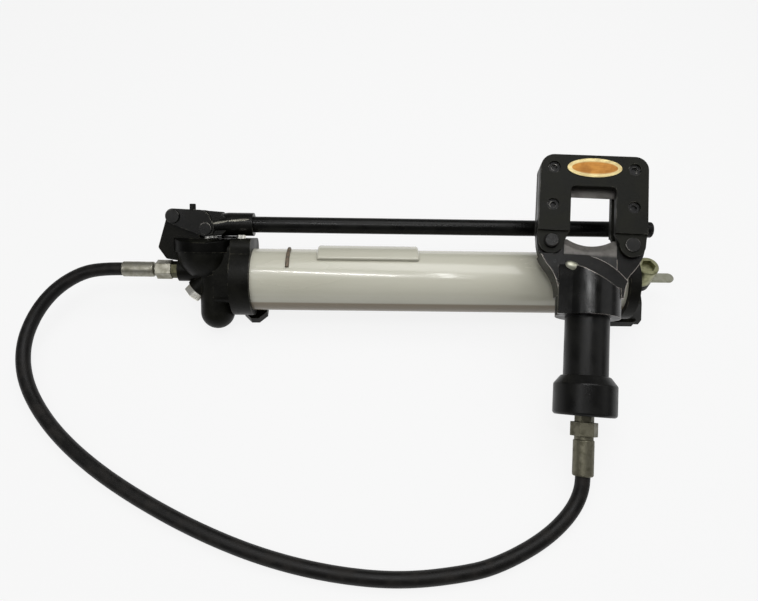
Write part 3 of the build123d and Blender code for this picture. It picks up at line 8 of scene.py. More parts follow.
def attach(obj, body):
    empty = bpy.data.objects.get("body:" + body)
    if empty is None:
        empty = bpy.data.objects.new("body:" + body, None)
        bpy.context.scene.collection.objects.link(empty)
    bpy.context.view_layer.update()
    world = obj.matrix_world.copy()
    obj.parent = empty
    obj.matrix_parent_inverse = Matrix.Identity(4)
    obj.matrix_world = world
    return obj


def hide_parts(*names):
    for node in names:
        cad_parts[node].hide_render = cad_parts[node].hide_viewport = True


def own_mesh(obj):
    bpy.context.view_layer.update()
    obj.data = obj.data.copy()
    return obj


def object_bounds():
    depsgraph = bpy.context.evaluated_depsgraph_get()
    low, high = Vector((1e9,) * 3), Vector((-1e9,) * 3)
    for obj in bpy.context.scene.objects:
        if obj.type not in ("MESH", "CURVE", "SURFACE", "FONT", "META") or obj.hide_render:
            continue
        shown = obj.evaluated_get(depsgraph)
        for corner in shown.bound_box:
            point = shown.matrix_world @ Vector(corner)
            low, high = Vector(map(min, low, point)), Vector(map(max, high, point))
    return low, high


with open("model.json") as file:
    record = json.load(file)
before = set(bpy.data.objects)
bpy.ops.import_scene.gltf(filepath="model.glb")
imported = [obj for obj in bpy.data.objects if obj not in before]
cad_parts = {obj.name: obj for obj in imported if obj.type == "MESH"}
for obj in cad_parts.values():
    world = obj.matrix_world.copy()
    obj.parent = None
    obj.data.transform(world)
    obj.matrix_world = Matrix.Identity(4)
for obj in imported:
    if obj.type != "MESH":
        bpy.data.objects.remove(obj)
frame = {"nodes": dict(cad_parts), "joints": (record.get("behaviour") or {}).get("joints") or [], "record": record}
cad_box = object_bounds()

NODES = frame["nodes"]
JOINTS = {joint["name"]: joint for joint in frame["joints"]}
SLOT_OF = {part["node"]: part["material_slot"] for part in frame["record"]["subparts"]}

# Directions of the object, from its joints.
ALONG_TUBE = Vector((1, 0, 0))
PLUNGER_UP = Vector(JOINTS["plunger_slide"]["axis"])
LEVER_AXIS = Vector(JOINTS["lever_swing"]["axis"])
RAM_AXIS = Vector(JOINTS["ram_slide"]["axis"])
PIN_AXIS = Vector(JOINTS["lock_pin_slide"]["axis"])
VALVE_AXIS = Vector(JOINTS["release_valve_turn"]["axis"])
UP = Vector((0, 0, 1))
HEAD_FRONT = ALONG_TUBE.cross(PLUNGER_UP)
CUTTER_RIGHT = RAM_AXIS.cross(PIN_AXIS)

# Where the tube's axis and the foot of the cutting head's cylinder are, in metres.
TUBE_MIDDLE = Vector((0, 0, 0.047))
CUTTER_FOOT = Vector((0.1408, -0.1634, 0.04817))

# The hose, with its route from the pump's ferrule to the cutter's, in metres.
HOSE_DIAMETER = 0.015
HOSE_ROUTE = [
    (-0.3570, 0.00766, 0.05343), (-0.3850, 0.00766, 0.05343), (-0.4105, 0.0005, 0.0492),
    (-0.4345, -0.0163, 0.0417), (-0.4512, -0.0415, 0.0325), (-0.4585, -0.0730, 0.0230),
    (-0.4520, -0.1065, 0.0145), (-0.4315, -0.1395, 0.0090), (-0.3975, -0.1745, 0.0077),
    (-0.3510, -0.2090, 0.0077), (-0.2960, -0.2405, 0.0077), (-0.2365, -0.2685, 0.0077),
    (-0.1740, -0.2910, 0.0077), (-0.1090, -0.3055, 0.0077), (-0.0430, -0.3110, 0.0077),
    (0.0225, -0.3035, 0.0077), (0.0505, -0.2950, 0.0077), (0.0780, -0.2825, 0.0077),
    (0.0990, -0.2700, 0.0080), (0.1155, -0.2568, 0.0094), (0.1268, -0.2445, 0.0122),
    (0.1330, -0.2338, 0.0162), (0.1360, -0.2244, 0.0209), (0.13657, -0.21713, 0.02417),
]
HOSE_ORDER = 3
HOSE_STEPS = 10
HOSE_ROUND_STEPS = 6

# Forms of the pump head, in metres: along the tube, up the plunger's direction and out of the front.
RIM_X = -0.262
RIM_BOTTOM = 0.0312
RIM_EDGE = 0.0421
RIM_CREST = 0.0463
RIM_RADII = (0.0193, 0.0353)
REST_OUTLINE = [(-0.264, 0.036), (-0.226, 0.036), (-0.226, 0.0482), (-0.258, 0.0482), (-0.264, 0.045)]
REST_DEPTHS = (-0.026, -0.0148)
CHEEK_OUTLINE = [
    (-0.266, 0.0492), (-0.242, 0.0492), (-0.236, 0.056),
    (-0.236, 0.068), (-0.244, 0.0757), (-0.266, 0.0772),
]
CHEEK_DEPTHS = (0.0092, 0.0112)
# A painted highlight along the top of the lever's socket, laid on as bare metal: points along, up and out of the
# front, and its width.
LEVER_HIGHLIGHT_LINE = [(-0.2520, 0.0625, 0.0126), (-0.2351, 0.0656, 0.0125), (-0.2111, 0.0677, 0.0117)]
LEVER_HIGHLIGHT_WIDTH = 0.0020
STUD_X = -0.2735
STUD_HEIGHTS = (0.0765, 0.084)
STUD_DEPTH = 0.011
STUD_RADIUS = 0.0034

# Forms of the cutting head, in metres: to its right, along its ram and out of its front.
BARREL_RADIUS = 0.0326
BARREL_BOTTOM = 0.1001
BARREL_RIDGE = [(-0.033, 0.1507), (-0.014, 0.1482), (0.024, 0.1291), (0.033, 0.1291)]
BARREL_SHOULDER = (-0.0331, 0.0193)
BARREL_LEFT_SHARE = 0.62
BARREL_RIGHT_SHARE = 0.985
CORE_FRONT = 0.0135
BOSS_MIDDLE = (-0.0212, 0.1485, 0.0245)
BOSS_HALF = (0.0078, 0.0044, 0.0030)
BOSS_FALL = math.radians(20)
COLLAR_RADIUS = 0.0094
COLLAR_ENDS = (-0.0240, -0.0190)

# Where the cutting head's paint is bared to bright metal along its ridges, partly as wear and partly as painted
# highlights, in metres, from none to full.
YOKE_FLANK = (-0.030, -0.034)
YOKE_RIDGE = (-0.006, 0.002)
YOKE_LOW = (0.1625, 0.161)
BARREL_RIGHT = (-0.019, -0.015)
BARREL_HIGH = (0.126, 0.128)

# How finely the round pieces are divided.
RIM_SIDES = 96
RIM_RINGS = 6
ROUND_SIDES = 48
BARREL_STEPS = 30
BOSS_SIDES = 32
BOSS_RINGS = 16
EDGE_STEPS = 3

# The photograph's camera.
CAMERA_PLACE = Vector((-0.0803, -0.3933, 0.620))
CAMERA_DIP = math.radians(57.4)
CAMERA_TURN = math.radians(2.21)
CAMERA_ROLL = math.radians(2.5)
CAMERA_LENS = 28.73
CAMERA_SENSOR = 36.0
CAMERA_NEAR = 0.01

# Light and floor.
FLOOR_SIZE = 8.0
FLOOR_COLOUR = (0.55, 0.55, 0.55, 1)
FLOOR_OWN_LIGHT = 0.86
FLOOR_GAP = 0.0002
WORLD_STRENGTH = 0.26

# The lamps: place, target and size in metres, and power in watts.
LAMPS = {
    "strip": ((-0.19, -0.20, 1.15), (-0.05, 0, 0), (0.50, 0.05), 3.5),
    "streak": ((0.15, -0.25, 1.15), (0.14, -0.1, 0.1), (0.04, 0.35), 0.8),
    "overhead": ((0.20, 0.35, 1.3), (0.05, 0, 0.03), (1.2, 0.7), 8.5),
    "key": ((-0.75, -0.55, 1.15), (0, 0, 0.03), (0.6, 0.6), 2.5),
    "fill": ((0.95, -0.25, 0.8), (0.1, 0, 0.03), (0.5, 0.8), 1.2),
}


def head_place(along, up, front=0.0):
    """A point of the pump head: along the tube, up the plunger's direction and out of the front."""
    return TUBE_MIDDLE + ALONG_TUBE * along + PLUNGER_UP * up + HEAD_FRONT * front


def cutter_place(right, along, front=0.0):
    """A point of the cutting head: to its right, along its ram and out of its front."""
    return CUTTER_FOOT + CUTTER_RIGHT * right + RAM_AXIS * along + PIN_AXIS * front


# What most of a noise lies between.
MOST_NOISE = (0.3, 0.7)

# How far the normal agrees with the rounded one, on an open face and on an edge.
EDGE_TURN = (1.0, 0.9)

# Marks in the finishes: where the blade is ground, and the oval plate's middle and the field in its rim.
GROUND_FROM = (0.163, 0.167)
PLATE_MIDDLE = sum((vertex.co for vertex in NODES["oval_plate"].data.vertices), Vector())
PLATE_MIDDLE /= len(NODES["oval_plate"].data.vertices)
PLATE_FIELD = (0.047, 0.0135)
PLATE_EDGE = (PLATE_FIELD[0] * 0.985, PLATE_FIELD[0] * 1.015)


class Finish:
    """A procedural material: one Principled shader and the nodes that feed it."""

    def __init__(self, name, **constants):
        self.material = bpy.data.materials.new(name)
        self.material.use_nodes = True
        self.tree = self.material.node_tree
        self.shader = self.tree.nodes["Principled BSDF"]
        self.place = self.node("ShaderNodeTexCoord").outputs["Object"]
        self.bumped = None
        for socket, value in constants.items():
            self.set(socket.replace("_", " ").title().replace("Ior", "IOR"), value)

    def node(self, kind, **settings):
        """A new node of that kind, with its settings."""
        made = self.tree.nodes.new(kind)
        for name, value in settings.items():
            setattr(made, name, value)
        return made

    def feed(self, socket, value):
        """Links a socket to a node's output, or gives it a constant."""
        if isinstance(value, bpy.types.NodeSocket):
            self.tree.links.new(value, socket)
        else:
            socket.default_value = value

    def set(self, name, value):
        """Links an input of the shader to a node's output, or gives it a constant."""
        self.feed(self.shader.inputs[name], value)

    def noise(self, size, detail, stretch=(1, 1, 1)):
        """Noise from 0 to 1 with blotches about size metres across, longer where stretch is under 1."""
        mapping = self.node("ShaderNodeMapping")
        self.feed(mapping.inputs["Vector"], self.place)
        mapping.inputs["Scale"].default_value = stretch
        texture = self.node("ShaderNodeTexNoise")
        self.feed(texture.inputs["Vector"], mapping.outputs["Vector"])
        texture.inputs["Scale"].default_value = 1 / size
        texture.inputs["Detail"].default_value = detail
        return texture.outputs[0]

    def rings(self, axis, pitch):
        """Noise that changes only along an axis, as a lathe leaves it."""
        along = self.node("ShaderNodeVectorMath", operation="DOT_PRODUCT")
        self.feed(along.inputs[0], self.place)
        along.inputs[1].default_value = axis
        texture = self.node("ShaderNodeTexNoise", noise_dimensions="1D")
        self.feed(texture.inputs["W"], along.outputs["Value"])
        texture.inputs["Scale"].default_value = 1 / pitch
        return texture.outputs[0]

    def band(self, value, low, high, start=0.0, end=1.0):
        """Takes low..high smoothly to start..end, and holds both ends."""
        ranged = self.node("ShaderNodeMapRange", interpolation_type="SMOOTHSTEP")
        for socket, number in zip(ranged.inputs, (value, low, high, start, end)):
            self.feed(socket, number)
        return ranged.outputs[0]

    def math(self, operation, first, second):
        """The result of an operation on two values, held between 0 and 1."""
        made = self.node("ShaderNodeMath", operation=operation, use_clamp=True)
        self.feed(made.inputs[0], first)
        self.feed(made.inputs[1], second)
        return made.outputs[0]

    def blend(self, factor, first, second):
        """The first colour where the factor is 0, and the second where it is 1."""
        mixed = self.node("ShaderNodeMix", data_type="RGBA")
        self.feed(mixed.inputs[0], factor)
        for socket, colour in ((mixed.inputs[6], first), (mixed.inputs[7], second)):
            self.feed(socket, colour if isinstance(colour, bpy.types.NodeSocket) else (*colour, 1))
        return mixed.outputs[2]

    def roughen(self, noise, low, high):
        """Lets the roughness go from low to high with a noise."""
        self.set("Roughness", self.band(noise, *MOST_NOISE, low, high))

    def edges(self, radius):
        """1 along the edges of the piece, and 0 on its open faces."""
        rounded = self.node("ShaderNodeBevel", samples=4)
        rounded.inputs["Radius"].default_value = radius
        turned = self.node("ShaderNodeVectorMath", operation="DOT_PRODUCT")
        self.feed(turned.inputs[0], rounded.outputs["Normal"])
        self.feed(turned.inputs[1], self.node("ShaderNodeNewGeometry").outputs["Normal"])
        return self.band(turned.outputs["Value"], *EDGE_TURN)

    def along(self, direction, start):
        """How far a point is along a direction, in metres from the start."""
        moved = self.node("ShaderNodeVectorMath", operation="SUBTRACT")
        self.feed(moved.inputs[0], self.place)
        moved.inputs[1].default_value = start
        reach = self.node("ShaderNodeVectorMath", operation="DOT_PRODUCT")
        self.feed(reach.inputs[0], moved.outputs["Vector"])
        reach.inputs[1].default_value = direction
        return reach.outputs["Value"]

    def oval(self, centre, direction, length, width):
        """Grows outwards in ovals round a centre, to the length on the oval of that length and width."""
        focus = direction.normalized() * math.sqrt(length ** 2 - width ** 2) / 2
        total = self.node("ShaderNodeMath", operation="ADD")
        for socket, point in zip(total.inputs, (centre - focus, centre + focus)):
            reach = self.node("ShaderNodeVectorMath", operation="DISTANCE")
            self.feed(reach.inputs[0], self.place)
            reach.inputs[1].default_value = point
            self.feed(socket, reach.outputs["Value"])
        return total.outputs[0]

    def facing(self, direction):
        """1 where a face looks along the direction, and 0 where it looks square to it or away."""
        turned = self.node("ShaderNodeVectorMath", operation="DOT_PRODUCT")
        self.feed(turned.inputs[0], self.node("ShaderNodeNewGeometry").outputs["Normal"])
        turned.inputs[1].default_value = direction
        return self.band(turned.outputs["Value"], 0.0, 1.0)

    def bump(self, height, depth):
        """Adds relief of that depth in metres to the relief so far."""
        made = self.node("ShaderNodeBump")
        self.feed(made.inputs["Height"], height)
        made.inputs["Distance"].default_value = depth
        if self.bumped is not None:
            self.feed(made.inputs["Normal"], self.bumped)
        self.bumped = made.outputs["Normal"]
        self.set("Normal", self.bumped)


def black_paint(name, colours, gloss, grain, bare, wear_and_highlight_marks):
    """Black paint over metal: mottled, grained, and bared to metal where the given marks say so, if at all; the
    marks are edge wear, and on some paints painted highlights and glints too.
    """
    specular, roughness = gloss
    finish = Finish(name, specular_ior_level=specular)
    mottle = finish.noise(0.018, detail=6)
    wear_and_highlight = finish.band(finish.noise(0.006, detail=8), 0.48, 0.68, 0.0, 0.008)
    if wear_and_highlight_marks is not None:
        wear_and_highlight = finish.math("MAXIMUM", wear_and_highlight, wear_and_highlight_marks(finish))
    paint = finish.blend(finish.band(mottle, 0.35, 0.7), *colours)
    finish.set("Base Color", finish.blend(wear_and_highlight, paint, bare))
    finish.set("Metallic", finish.math("MULTIPLY", wear_and_highlight, 0.7))
    finish.roughen(mottle, roughness - 0.05, roughness + 0.09)
    grain_size, grain_depth = grain
    finish.bump(finish.noise(grain_size, detail=3), grain_depth)
    return finish.material


def patchy_edges(finish):
    """Bare metal along the edges, in patches: wear, and on the pins and screws, whose bare metal is bright,
    painted glints as well.
    """
    patches = finish.band(finish.noise(0.006, detail=8), 0.46, 0.66)
    return finish.math("MULTIPLY", finish.edges(0.001), patches)


def lever_wear_and_highlight(finish):
    """Wear along the edges, and a painted highlight laid as bare metal along the top of the lever's socket."""
    wear_and_highlight = patchy_edges(finish)
    line = [head_place(*point) for point in LEVER_HIGHLIGHT_LINE]
    for start, end in zip(line, line[1:]):
        length = (end - start).length
        reach = finish.oval((start + end) / 2, end - start, length, LEVER_HIGHLIGHT_WIDTH)
        over = math.hypot(length, LEVER_HIGHLIGHT_WIDTH) - length
        wear_and_highlight = finish.math("MAXIMUM", wear_and_highlight, finish.band(reach, length + over, length - over / 3))
    return wear_and_highlight


def yoke_wear_and_highlights(finish):
    """Bare metal along the edges of the yoke's left flank and of the ridge of its front cheek: partly wear, partly
    painted highlights where those edges catch the light.
    """
    right = finish.along(CUTTER_RIGHT, CUTTER_FOOT)
    along = finish.along(RAM_AXIS, CUTTER_FOOT)
    flank = finish.band(right, *YOKE_FLANK)
    ridge = finish.band(right, *YOKE_RIDGE)
    low = finish.band(along, *YOKE_LOW)
    wear_and_highlight = finish.math("MULTIPLY", finish.math("MAXIMUM", flank, ridge), low)
    return finish.math("MULTIPLY", finish.edges(0.0014), wear_and_highlight)


def barrel_wear_and_highlight(finish):
    """Bare metal along the oblique ridge of the barrel's front: partly wear, partly a painted highlight along the
    ridge.
    """
    right = finish.band(finish.along(CUTTER_RIGHT, CUTTER_FOOT), *BARREL_RIGHT)
    high = finish.band(finish.along(RAM_AXIS, CUTTER_FOOT), *BARREL_HIGH)
    return finish.math("MULTIPLY", finish.edges(0.0016), finish.math("MULTIPLY", right, high))


# Black paints: two colours, specular level and roughness, grain's size and depth, bare metal, and wear marks,
# which on some paints also lay painted highlights and glints in bare metal.
BLACK_PAINTS = {
    "pump_black": (
        ((0.0022, 0.0022, 0.0014), (0.0058, 0.0058, 0.0040)),
        (0.11, 0.40), (0.0016, 0.00020), (0.10, 0.095, 0.07), patchy_edges,
    ),
    # A darker copy of the pump's black, for the rim only: painted shade on its band.
    "rim_black": (
        ((0.0010, 0.0010, 0.0008), (0.0020, 0.0020, 0.0016)),
        (0.06, 0.34), (0.0016, 0.00012), (0.06, 0.058, 0.045), None,
    ),
    "lever_black": (
        ((0.0016, 0.0016, 0.0013), (0.0042, 0.0042, 0.0034)),
        (0.16, 0.28), (0.0012, 0.00010), (0.16, 0.155, 0.13), lever_wear_and_highlight,
    ),
    "cutter_black": (
        ((0.0020, 0.0020, 0.0018), (0.0050, 0.0050, 0.0044)),
        (0.18, 0.32), (0.0008, 0.00006), (0.12, 0.115, 0.10), patchy_edges,
    ),
    "frame_black": (
        ((0.0038, 0.0040, 0.0024), (0.0088, 0.0090, 0.0060)),
        (0.11, 0.48), (0.0010, 0.00010), (0.10, 0.096, 0.08), patchy_edges,
    ),
    # The yoke's and barrel's bare metal is bright: along their ridges it is partly wear and partly painted
    # highlights.
    "yoke_black": (
        ((0.0016, 0.0016, 0.0014), (0.0042, 0.0042, 0.0036)),
        (0.16, 0.32), (0.0009, 0.00008), (0.34, 0.31, 0.28), yoke_wear_and_highlights,
    ),
    "barrel_black": (
        ((0.0014, 0.0014, 0.0013), (0.0034, 0.0034, 0.0030)),
        (0.22, 0.20), (0.0008, 0.00004), (0.34, 0.31, 0.28), barrel_wear_and_highlight,
    ),
    # Pins and screws: their bright bare metal in patches on the edges is partly wear and partly painted glints.
    "pin_steel": (
        ((0.0030, 0.0030, 0.0026), (0.0065, 0.0065, 0.0056)),
        (0.20, 0.30), (0.0008, 0.00005), (0.46, 0.44, 0.40), patchy_edges,
    ),
    "screw_black": (
        ((0.0016, 0.0016, 0.0015), (0.0034, 0.0034, 0.0032)),
        (0.18, 0.34), (0.0008, 0.00005), (0.30, 0.29, 0.26), patchy_edges,
    ),
}


def cream_paint(name, underside_shade):
    """Glossy cream enamel, a little yellowed and dusty, with painted shade in brown on the faces that look down,
    and a brushed ripple.
    """
    finish = Finish(name, coat_roughness=0.08)
    cloud = finish.noise(0.06, detail=5, stretch=(0.35, 1, 1))
    specks = finish.noise(0.0025, detail=6)
    clean = finish.blend(finish.band(cloud, *MOST_NOISE), (0.50, 0.49, 0.41), (0.45, 0.44, 0.36))
    dusty = finish.band(specks, 0.68, 0.8, 0, 0.5)
    upper = finish.blend(dusty, clean, (0.33, 0.30, 0.22))
    # Painted shade: faces that look down are painted a darker colour, with less coat and specular.
    under = finish.band(finish.facing(UP), 0.10, 0.03)
    finish.set("Base Color", finish.blend(under, upper, underside_shade))
    finish.set("Coat Weight", finish.band(under, 0, 1, 0.35, 0.05))
    finish.set("Specular IOR Level", finish.band(under, 0, 1, 0.5, 0.15))
    finish.roughen(cloud, 0.20, 0.30)
    finish.bump(finish.noise(0.006, detail=2, stretch=(0.3, 1, 1)), 0.00008)
    return finish.material


# The cream enamels, by the colour painted as shade on their undersides.
CREAMS = {
    "reservoir_cream": (0.28, 0.24, 0.18),
    "saddle_cream": (0.45, 0.44, 0.36),
}


def rusty_steel(name):
    """Dark steel with rust in patches."""
    finish = Finish(name)
    rust = finish.noise(0.003, detail=6)
    rusty = finish.band(rust, 0.35, 0.65)
    finish.set("Base Color", finish.blend(rusty, (0.07, 0.06, 0.045), (0.15, 0.11, 0.07)))
    finish.roughen(rust, 0.45, 0.65)
    finish.bump(rust, 0.0001)
    return finish.material


# The relief that turning leaves on metal, in metres.
TURNED_PITCH = 0.0004
TURNED_DEPTH = 0.000015


def metal(name, axis, colour, stain, roughness):
    """Plated or ground metal with the rings of its turning, blotched by handling."""
    finish = Finish(name, metallic=1.0)
    handled = finish.noise(0.007, detail=6)
    finish.set("Base Color", finish.blend(finish.band(handled, 0.38, 0.72), colour, stain))
    finish.roughen(handled, roughness - 0.06, roughness + 0.10)
    finish.bump(finish.rings(axis, TURNED_PITCH), TURNED_DEPTH)
    finish.bump(finish.noise(0.0015, detail=4), TURNED_DEPTH * 2)
    return finish.material


# Metals: colour, colour where they are handled, and roughness.
METALS = {
    "ground_steel": ((0.60, 0.60, 0.58), (0.48, 0.48, 0.45), 0.24),
    "valve_steel": ((0.84, 0.83, 0.77), (0.66, 0.63, 0.54), 0.24),
    "zinc_yellow": ((0.30, 0.30, 0.18), (0.17, 0.17, 0.095), 0.40),
    "tab_steel": ((0.34, 0.34, 0.28), (0.24, 0.24, 0.18), 0.42),
    "inner_steel": ((0.50, 0.50, 0.50), (0.38, 0.38, 0.37), 0.34),
    "fitting_steel": ((0.33, 0.32, 0.27), (0.22, 0.21, 0.165), 0.42),
    "dull_fitting": ((0.155, 0.147, 0.108), (0.095, 0.09, 0.064), 0.50),
    "adaptor_zinc": ((0.085, 0.082, 0.05), (0.05, 0.05, 0.03), 0.42),
    "bush_bronze": ((0.55, 0.36, 0.16), (0.40, 0.27, 0.12), 0.38),
}


def blade_steel(name):
    """Blackened tool steel, ground along its cutting edge."""
    finish = Finish(name)
    handled = finish.noise(0.007, detail=6)
    strokes = finish.noise(0.0008, detail=3, stretch=(0.05, 1, 1))
    ground = finish.band(finish.along(RAM_AXIS, CUTTER_FOOT), *GROUND_FROM)
    bright = finish.blend(finish.band(handled, 0.35, 0.7), (0.105, 0.098, 0.09), (0.075, 0.07, 0.063))
    finish.set("Base Color", finish.blend(ground, (0.006, 0.006, 0.0055), bright))
    finish.set("Metallic", finish.band(handled, *MOST_NOISE, 0.25, 0.4))
    finish.roughen(handled, 0.42, 0.54)
    finish.bump(strokes, 0.00002)
    return finish.material


def oval_gold(name):
    """A thin gold plate: a pale rim round a deeper middle, brushed across, darkened by handling."""
    finish = Finish(name, metallic=1.0)
    brushed = finish.noise(0.0012, detail=3, stretch=(0.06, 1, 1))
    handled = finish.noise(0.010, detail=6)
    reach = finish.oval(PLATE_MIDDLE, CUTTER_RIGHT, *PLATE_FIELD)
    middle = finish.blend(finish.band(handled, 0.35, 0.7), (0.31, 0.145, 0.036), (0.22, 0.095, 0.025))
    rim = finish.blend(finish.band(handled, 0.35, 0.7), (0.46, 0.385, 0.195), (0.36, 0.29, 0.145))
    edge = finish.band(reach, *PLATE_EDGE)
    finish.set("Base Color", finish.blend(edge, middle, rim))
    finish.roughen(brushed, 0.40, 0.56)
    finish.bump(brushed, 0.00003)
    return finish.material


def rubber(name):
    """Black moulded rubber, greyed by dust where it looks up."""
    finish = Finish(name, specular_ior_level=0.19, sheen_weight=0.03, sheen_roughness=0.5)
    blotch = finish.noise(0.012, detail=6)
    dusty = finish.math("MULTIPLY", finish.facing(UP), finish.band(blotch, 0.4, 0.7))
    finish.set("Base Color", finish.blend(dusty, (0.003, 0.0027, 0.0024), (0.012, 0.0105, 0.009)))
    finish.roughen(blotch, 0.40, 0.55)
    finish.bump(finish.noise(0.0007, detail=3), 0.00006)
    return finish.material


# The finishes that are made in their own way.
MAKERS = {
    "lever_plug_black": rubber,
    "seal_rubber": rubber,
    "hose_rubber": rubber,
    "clip_dark": rusty_steel,
    "blade_steel": blade_steel,
    "oval_gold": oval_gold,
}


def make_finish(kind, name, axis):
    """A new material of that kind and name, for a piece that was turned on the axis."""
    if kind in BLACK_PAINTS:
        return black_paint(name, *BLACK_PAINTS[kind])
    if kind in METALS:
        return metal(name, axis, *METALS[kind])
    if kind in CREAMS:
        return cream_paint(name, CREAMS[kind])
    return MAKERS[kind](name)


# Nodes whose finish differs from the rest of their slot.
OWN_FINISH = {
    "yoke": "yoke_black",
    "frame_front_plate": "frame_black",
    "frame_back_plate": "frame_black",
    "top_spacer": "frame_black",
    "gland_nut": "pin_steel",
    "cutter_adaptor": "dull_fitting",
    "cutter_swivel_nut": "dull_fitting",
    "cutter_ferrule": "dull_fitting",
}

# The axis that each turned node was turned on. The others take the tube's.
TURNED_ON = {
    "plunger": PLUNGER_UP,
    "gland_nut": PLUNGER_UP,
    "plunger_pin": LEVER_AXIS,
    "fulcrum_pin": LEVER_AXIS,
    "release_valve": VALVE_AXIS,
    "filler_plug": UP,
    "cutter_adaptor": RAM_AXIS,
    "cutter_swivel_nut": RAM_AXIS,
    "cutter_ferrule": RAM_AXIS,
    "ram": RAM_AXIS,
    "hinge_pin": PIN_AXIS,
    "lock_pin": PIN_AXIS,
    "frame_screws": PIN_AXIS,
    "blade_screws": RAM_AXIS,
}

# How far the edges of each node are broken, in metres. The nodes that aren't named keep their edges.
EDGE_BREAKS = {
    "pump_body": 0.0016,
    "end_cap": 0.0016,
    "lever_casting": 0.0014,
    "yoke": 0.0012,
    "frame_front_plate": 0.0010,
    "frame_back_plate": 0.0010,
    "guide_bar_left": 0.0006,
    "guide_bar_right": 0.0006,
    "top_spacer": 0.0006,
    "cylinder_cap": 0.0010,
    "release_valve": 0.0006,
    "filler_plug": 0.0006,
    "pump_swivel_nut": 0.0005,
    "cutter_swivel_nut": 0.0005,
    "pump_ferrule": 0.0005,
    "cutter_ferrule": 0.0005,
    "pump_adaptor": 0.0004,
    "cutter_adaptor": 0.0004,
    "tube_saddle": 0.0024,
    "plug_tab": 0.0005,
    "lock_pin": 0.0005,
    "hinge_pin": 0.0005,
    "fulcrum_pin": 0.0005,
    "lever_end_plug": 0.0008,
    "oval_plate": 0.0003,
}

# How far the edges of the scene's own pieces are rounded, in metres.
ROUNDINGS = {
    "pump_rim": 0.0012,
    "lever_rest": 0.0016,
    "lever_cheek_front": 0.0018,
    "lever_cheek_back": 0.0018,
    "lever_stud": 0.0008,
    "barrel_front": 0.0010,
    "barrel_highlight_boss": 0.0002,
    "cutter_collar": 0.0004,
}

# What counts as a sharp edge, a flat one and one point.
SHARP_EDGE = math.radians(32)
FLAT_WITHIN = math.radians(0.6)
SAME_POINT = 0.000004


def finish_nodes():
    """Gives every node of the frame its material, one for each slot, kind and axis."""
    made = {}
    for name, node in NODES.items():
        slot = SLOT_OF[name]
        axis = TURNED_ON.get(name, ALONG_TUBE)
        kind = OWN_FINISH.get(name, slot)
        key = (slot, kind, tuple(axis))
        if key not in made:
            made[key] = make_finish(kind, slot, axis)
        node.data.materials.clear()
        node.data.materials.append(made[key])


def round_edges(thing, width):
    """Rounds the sharp edges of a node or piece by modifiers, which leave its own mesh as it is."""
    bevel = thing.modifiers.new("bevel", "BEVEL")
    bevel.width = width
    bevel.segments = EDGE_STEPS
    bevel.limit_method = "ANGLE"
    bevel.angle_limit = SHARP_EDGE
    shade = thing.modifiers.new("shade", "WEIGHTED_NORMAL")
    shade.keep_sharp = True
    return bevel


def break_edges(node, width):
    """Joins the flat facets of a node by modifiers, and rounds its edges."""
    weld = node.modifiers.new("weld", "WELD")
    weld.merge_threshold = SAME_POINT
    flatten = node.modifiers.new("flatten", "DECIMATE")
    flatten.decimate_type = "DISSOLVE"
    flatten.angle_limit = FLAT_WITHIN
    bevel = round_edges(node, width)
    bevel.miter_outer = "MITER_ARC"


def make_piece(name, points, faces, body, like, kind=None):
    """A new piece that moves with a body, with a finish of that kind or else the finish of a node."""
    mesh = bpy.data.meshes.new(name)
    mesh.from_pydata(points, [], faces)
    if kind is None:
        mesh.materials.append(NODES[like].data.materials[0])
    else:
        mesh.materials.append(make_finish(kind, name, ALONG_TUBE))
    for face in mesh.polygons:
        face.use_smooth = True
    piece = bpy.data.objects.new(name, mesh)
    bpy.context.scene.collection.objects.link(piece)
    round_edges(piece, ROUNDINGS[name])
    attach(piece, body)
    return piece


def turns(count):
    """The angles of one full turn, in equal steps."""
    return [2 * math.pi * k / count for k in range(count)]


def joined(rings, closed=False):
    """Corners and faces between rings that follow each other, back to the first if closed."""
    count = len(rings[0])
    faces = []
    for step in range(len(rings) if closed else len(rings) - 1):
        here = step * count
        there = (step + 1) % len(rings) * count
        for k in range(count):
            after = (k + 1) % count
            faces.append((here + k, here + after, there + after, there + k))
    return [point for ring in rings for point in ring], faces


def capped(rings):
    """Corners and faces between rings that follow each other, with the first and last ring closed."""
    points, faces = joined(rings)
    count = len(rings[0])
    first = tuple(reversed(range(count)))
    last = tuple(range(len(points) - count, len(points)))
    return points, [*faces, first, last]


def prism(outline, depths):
    """Corners and faces of an outline on the pump head, drawn out between two depths."""
    return capped([[head_place(along, up, depth) for along, up in outline] for depth in depths])


def cylinder(foot, axis, ends, radius):
    """Corners and faces of a cylinder between two distances along an axis from its foot."""
    across = axis.orthogonal().normalized()
    beside = axis.cross(across)
    circle = [(across * math.cos(a) + beside * math.sin(a)) * radius for a in turns(ROUND_SIDES)]
    return capped([[foot + axis * end + point for point in circle] for end in ends])


def make_rim():
    """The pump head's rim: its top is arched across the lever, highest to the left and right. Its darker black is
    painted shade on the rim's band.
    """
    inner, outer = RIM_RADII
    reaches = [inner + (outer - inner) * step / RIM_RINGS for step in range(RIM_RINGS + 1)]

    def ring(reach, height=None):
        points = []
        for angle in turns(RIM_SIDES):
            front = reach * math.sin(angle)
            arch = RIM_CREST - (RIM_CREST - RIM_EDGE) * (front / outer) ** 2
            up = arch if height is None else height
            points.append(head_place(RIM_X + reach * math.cos(angle), up, front))
        return points

    arched = [ring(reach) for reach in reversed(reaches)]
    rings = [ring(outer, RIM_BOTTOM), *arched, ring(inner, RIM_BOTTOM)]
    make_piece("pump_rim", *joined(rings, closed=True), "base", "pump_body", "rim_black")


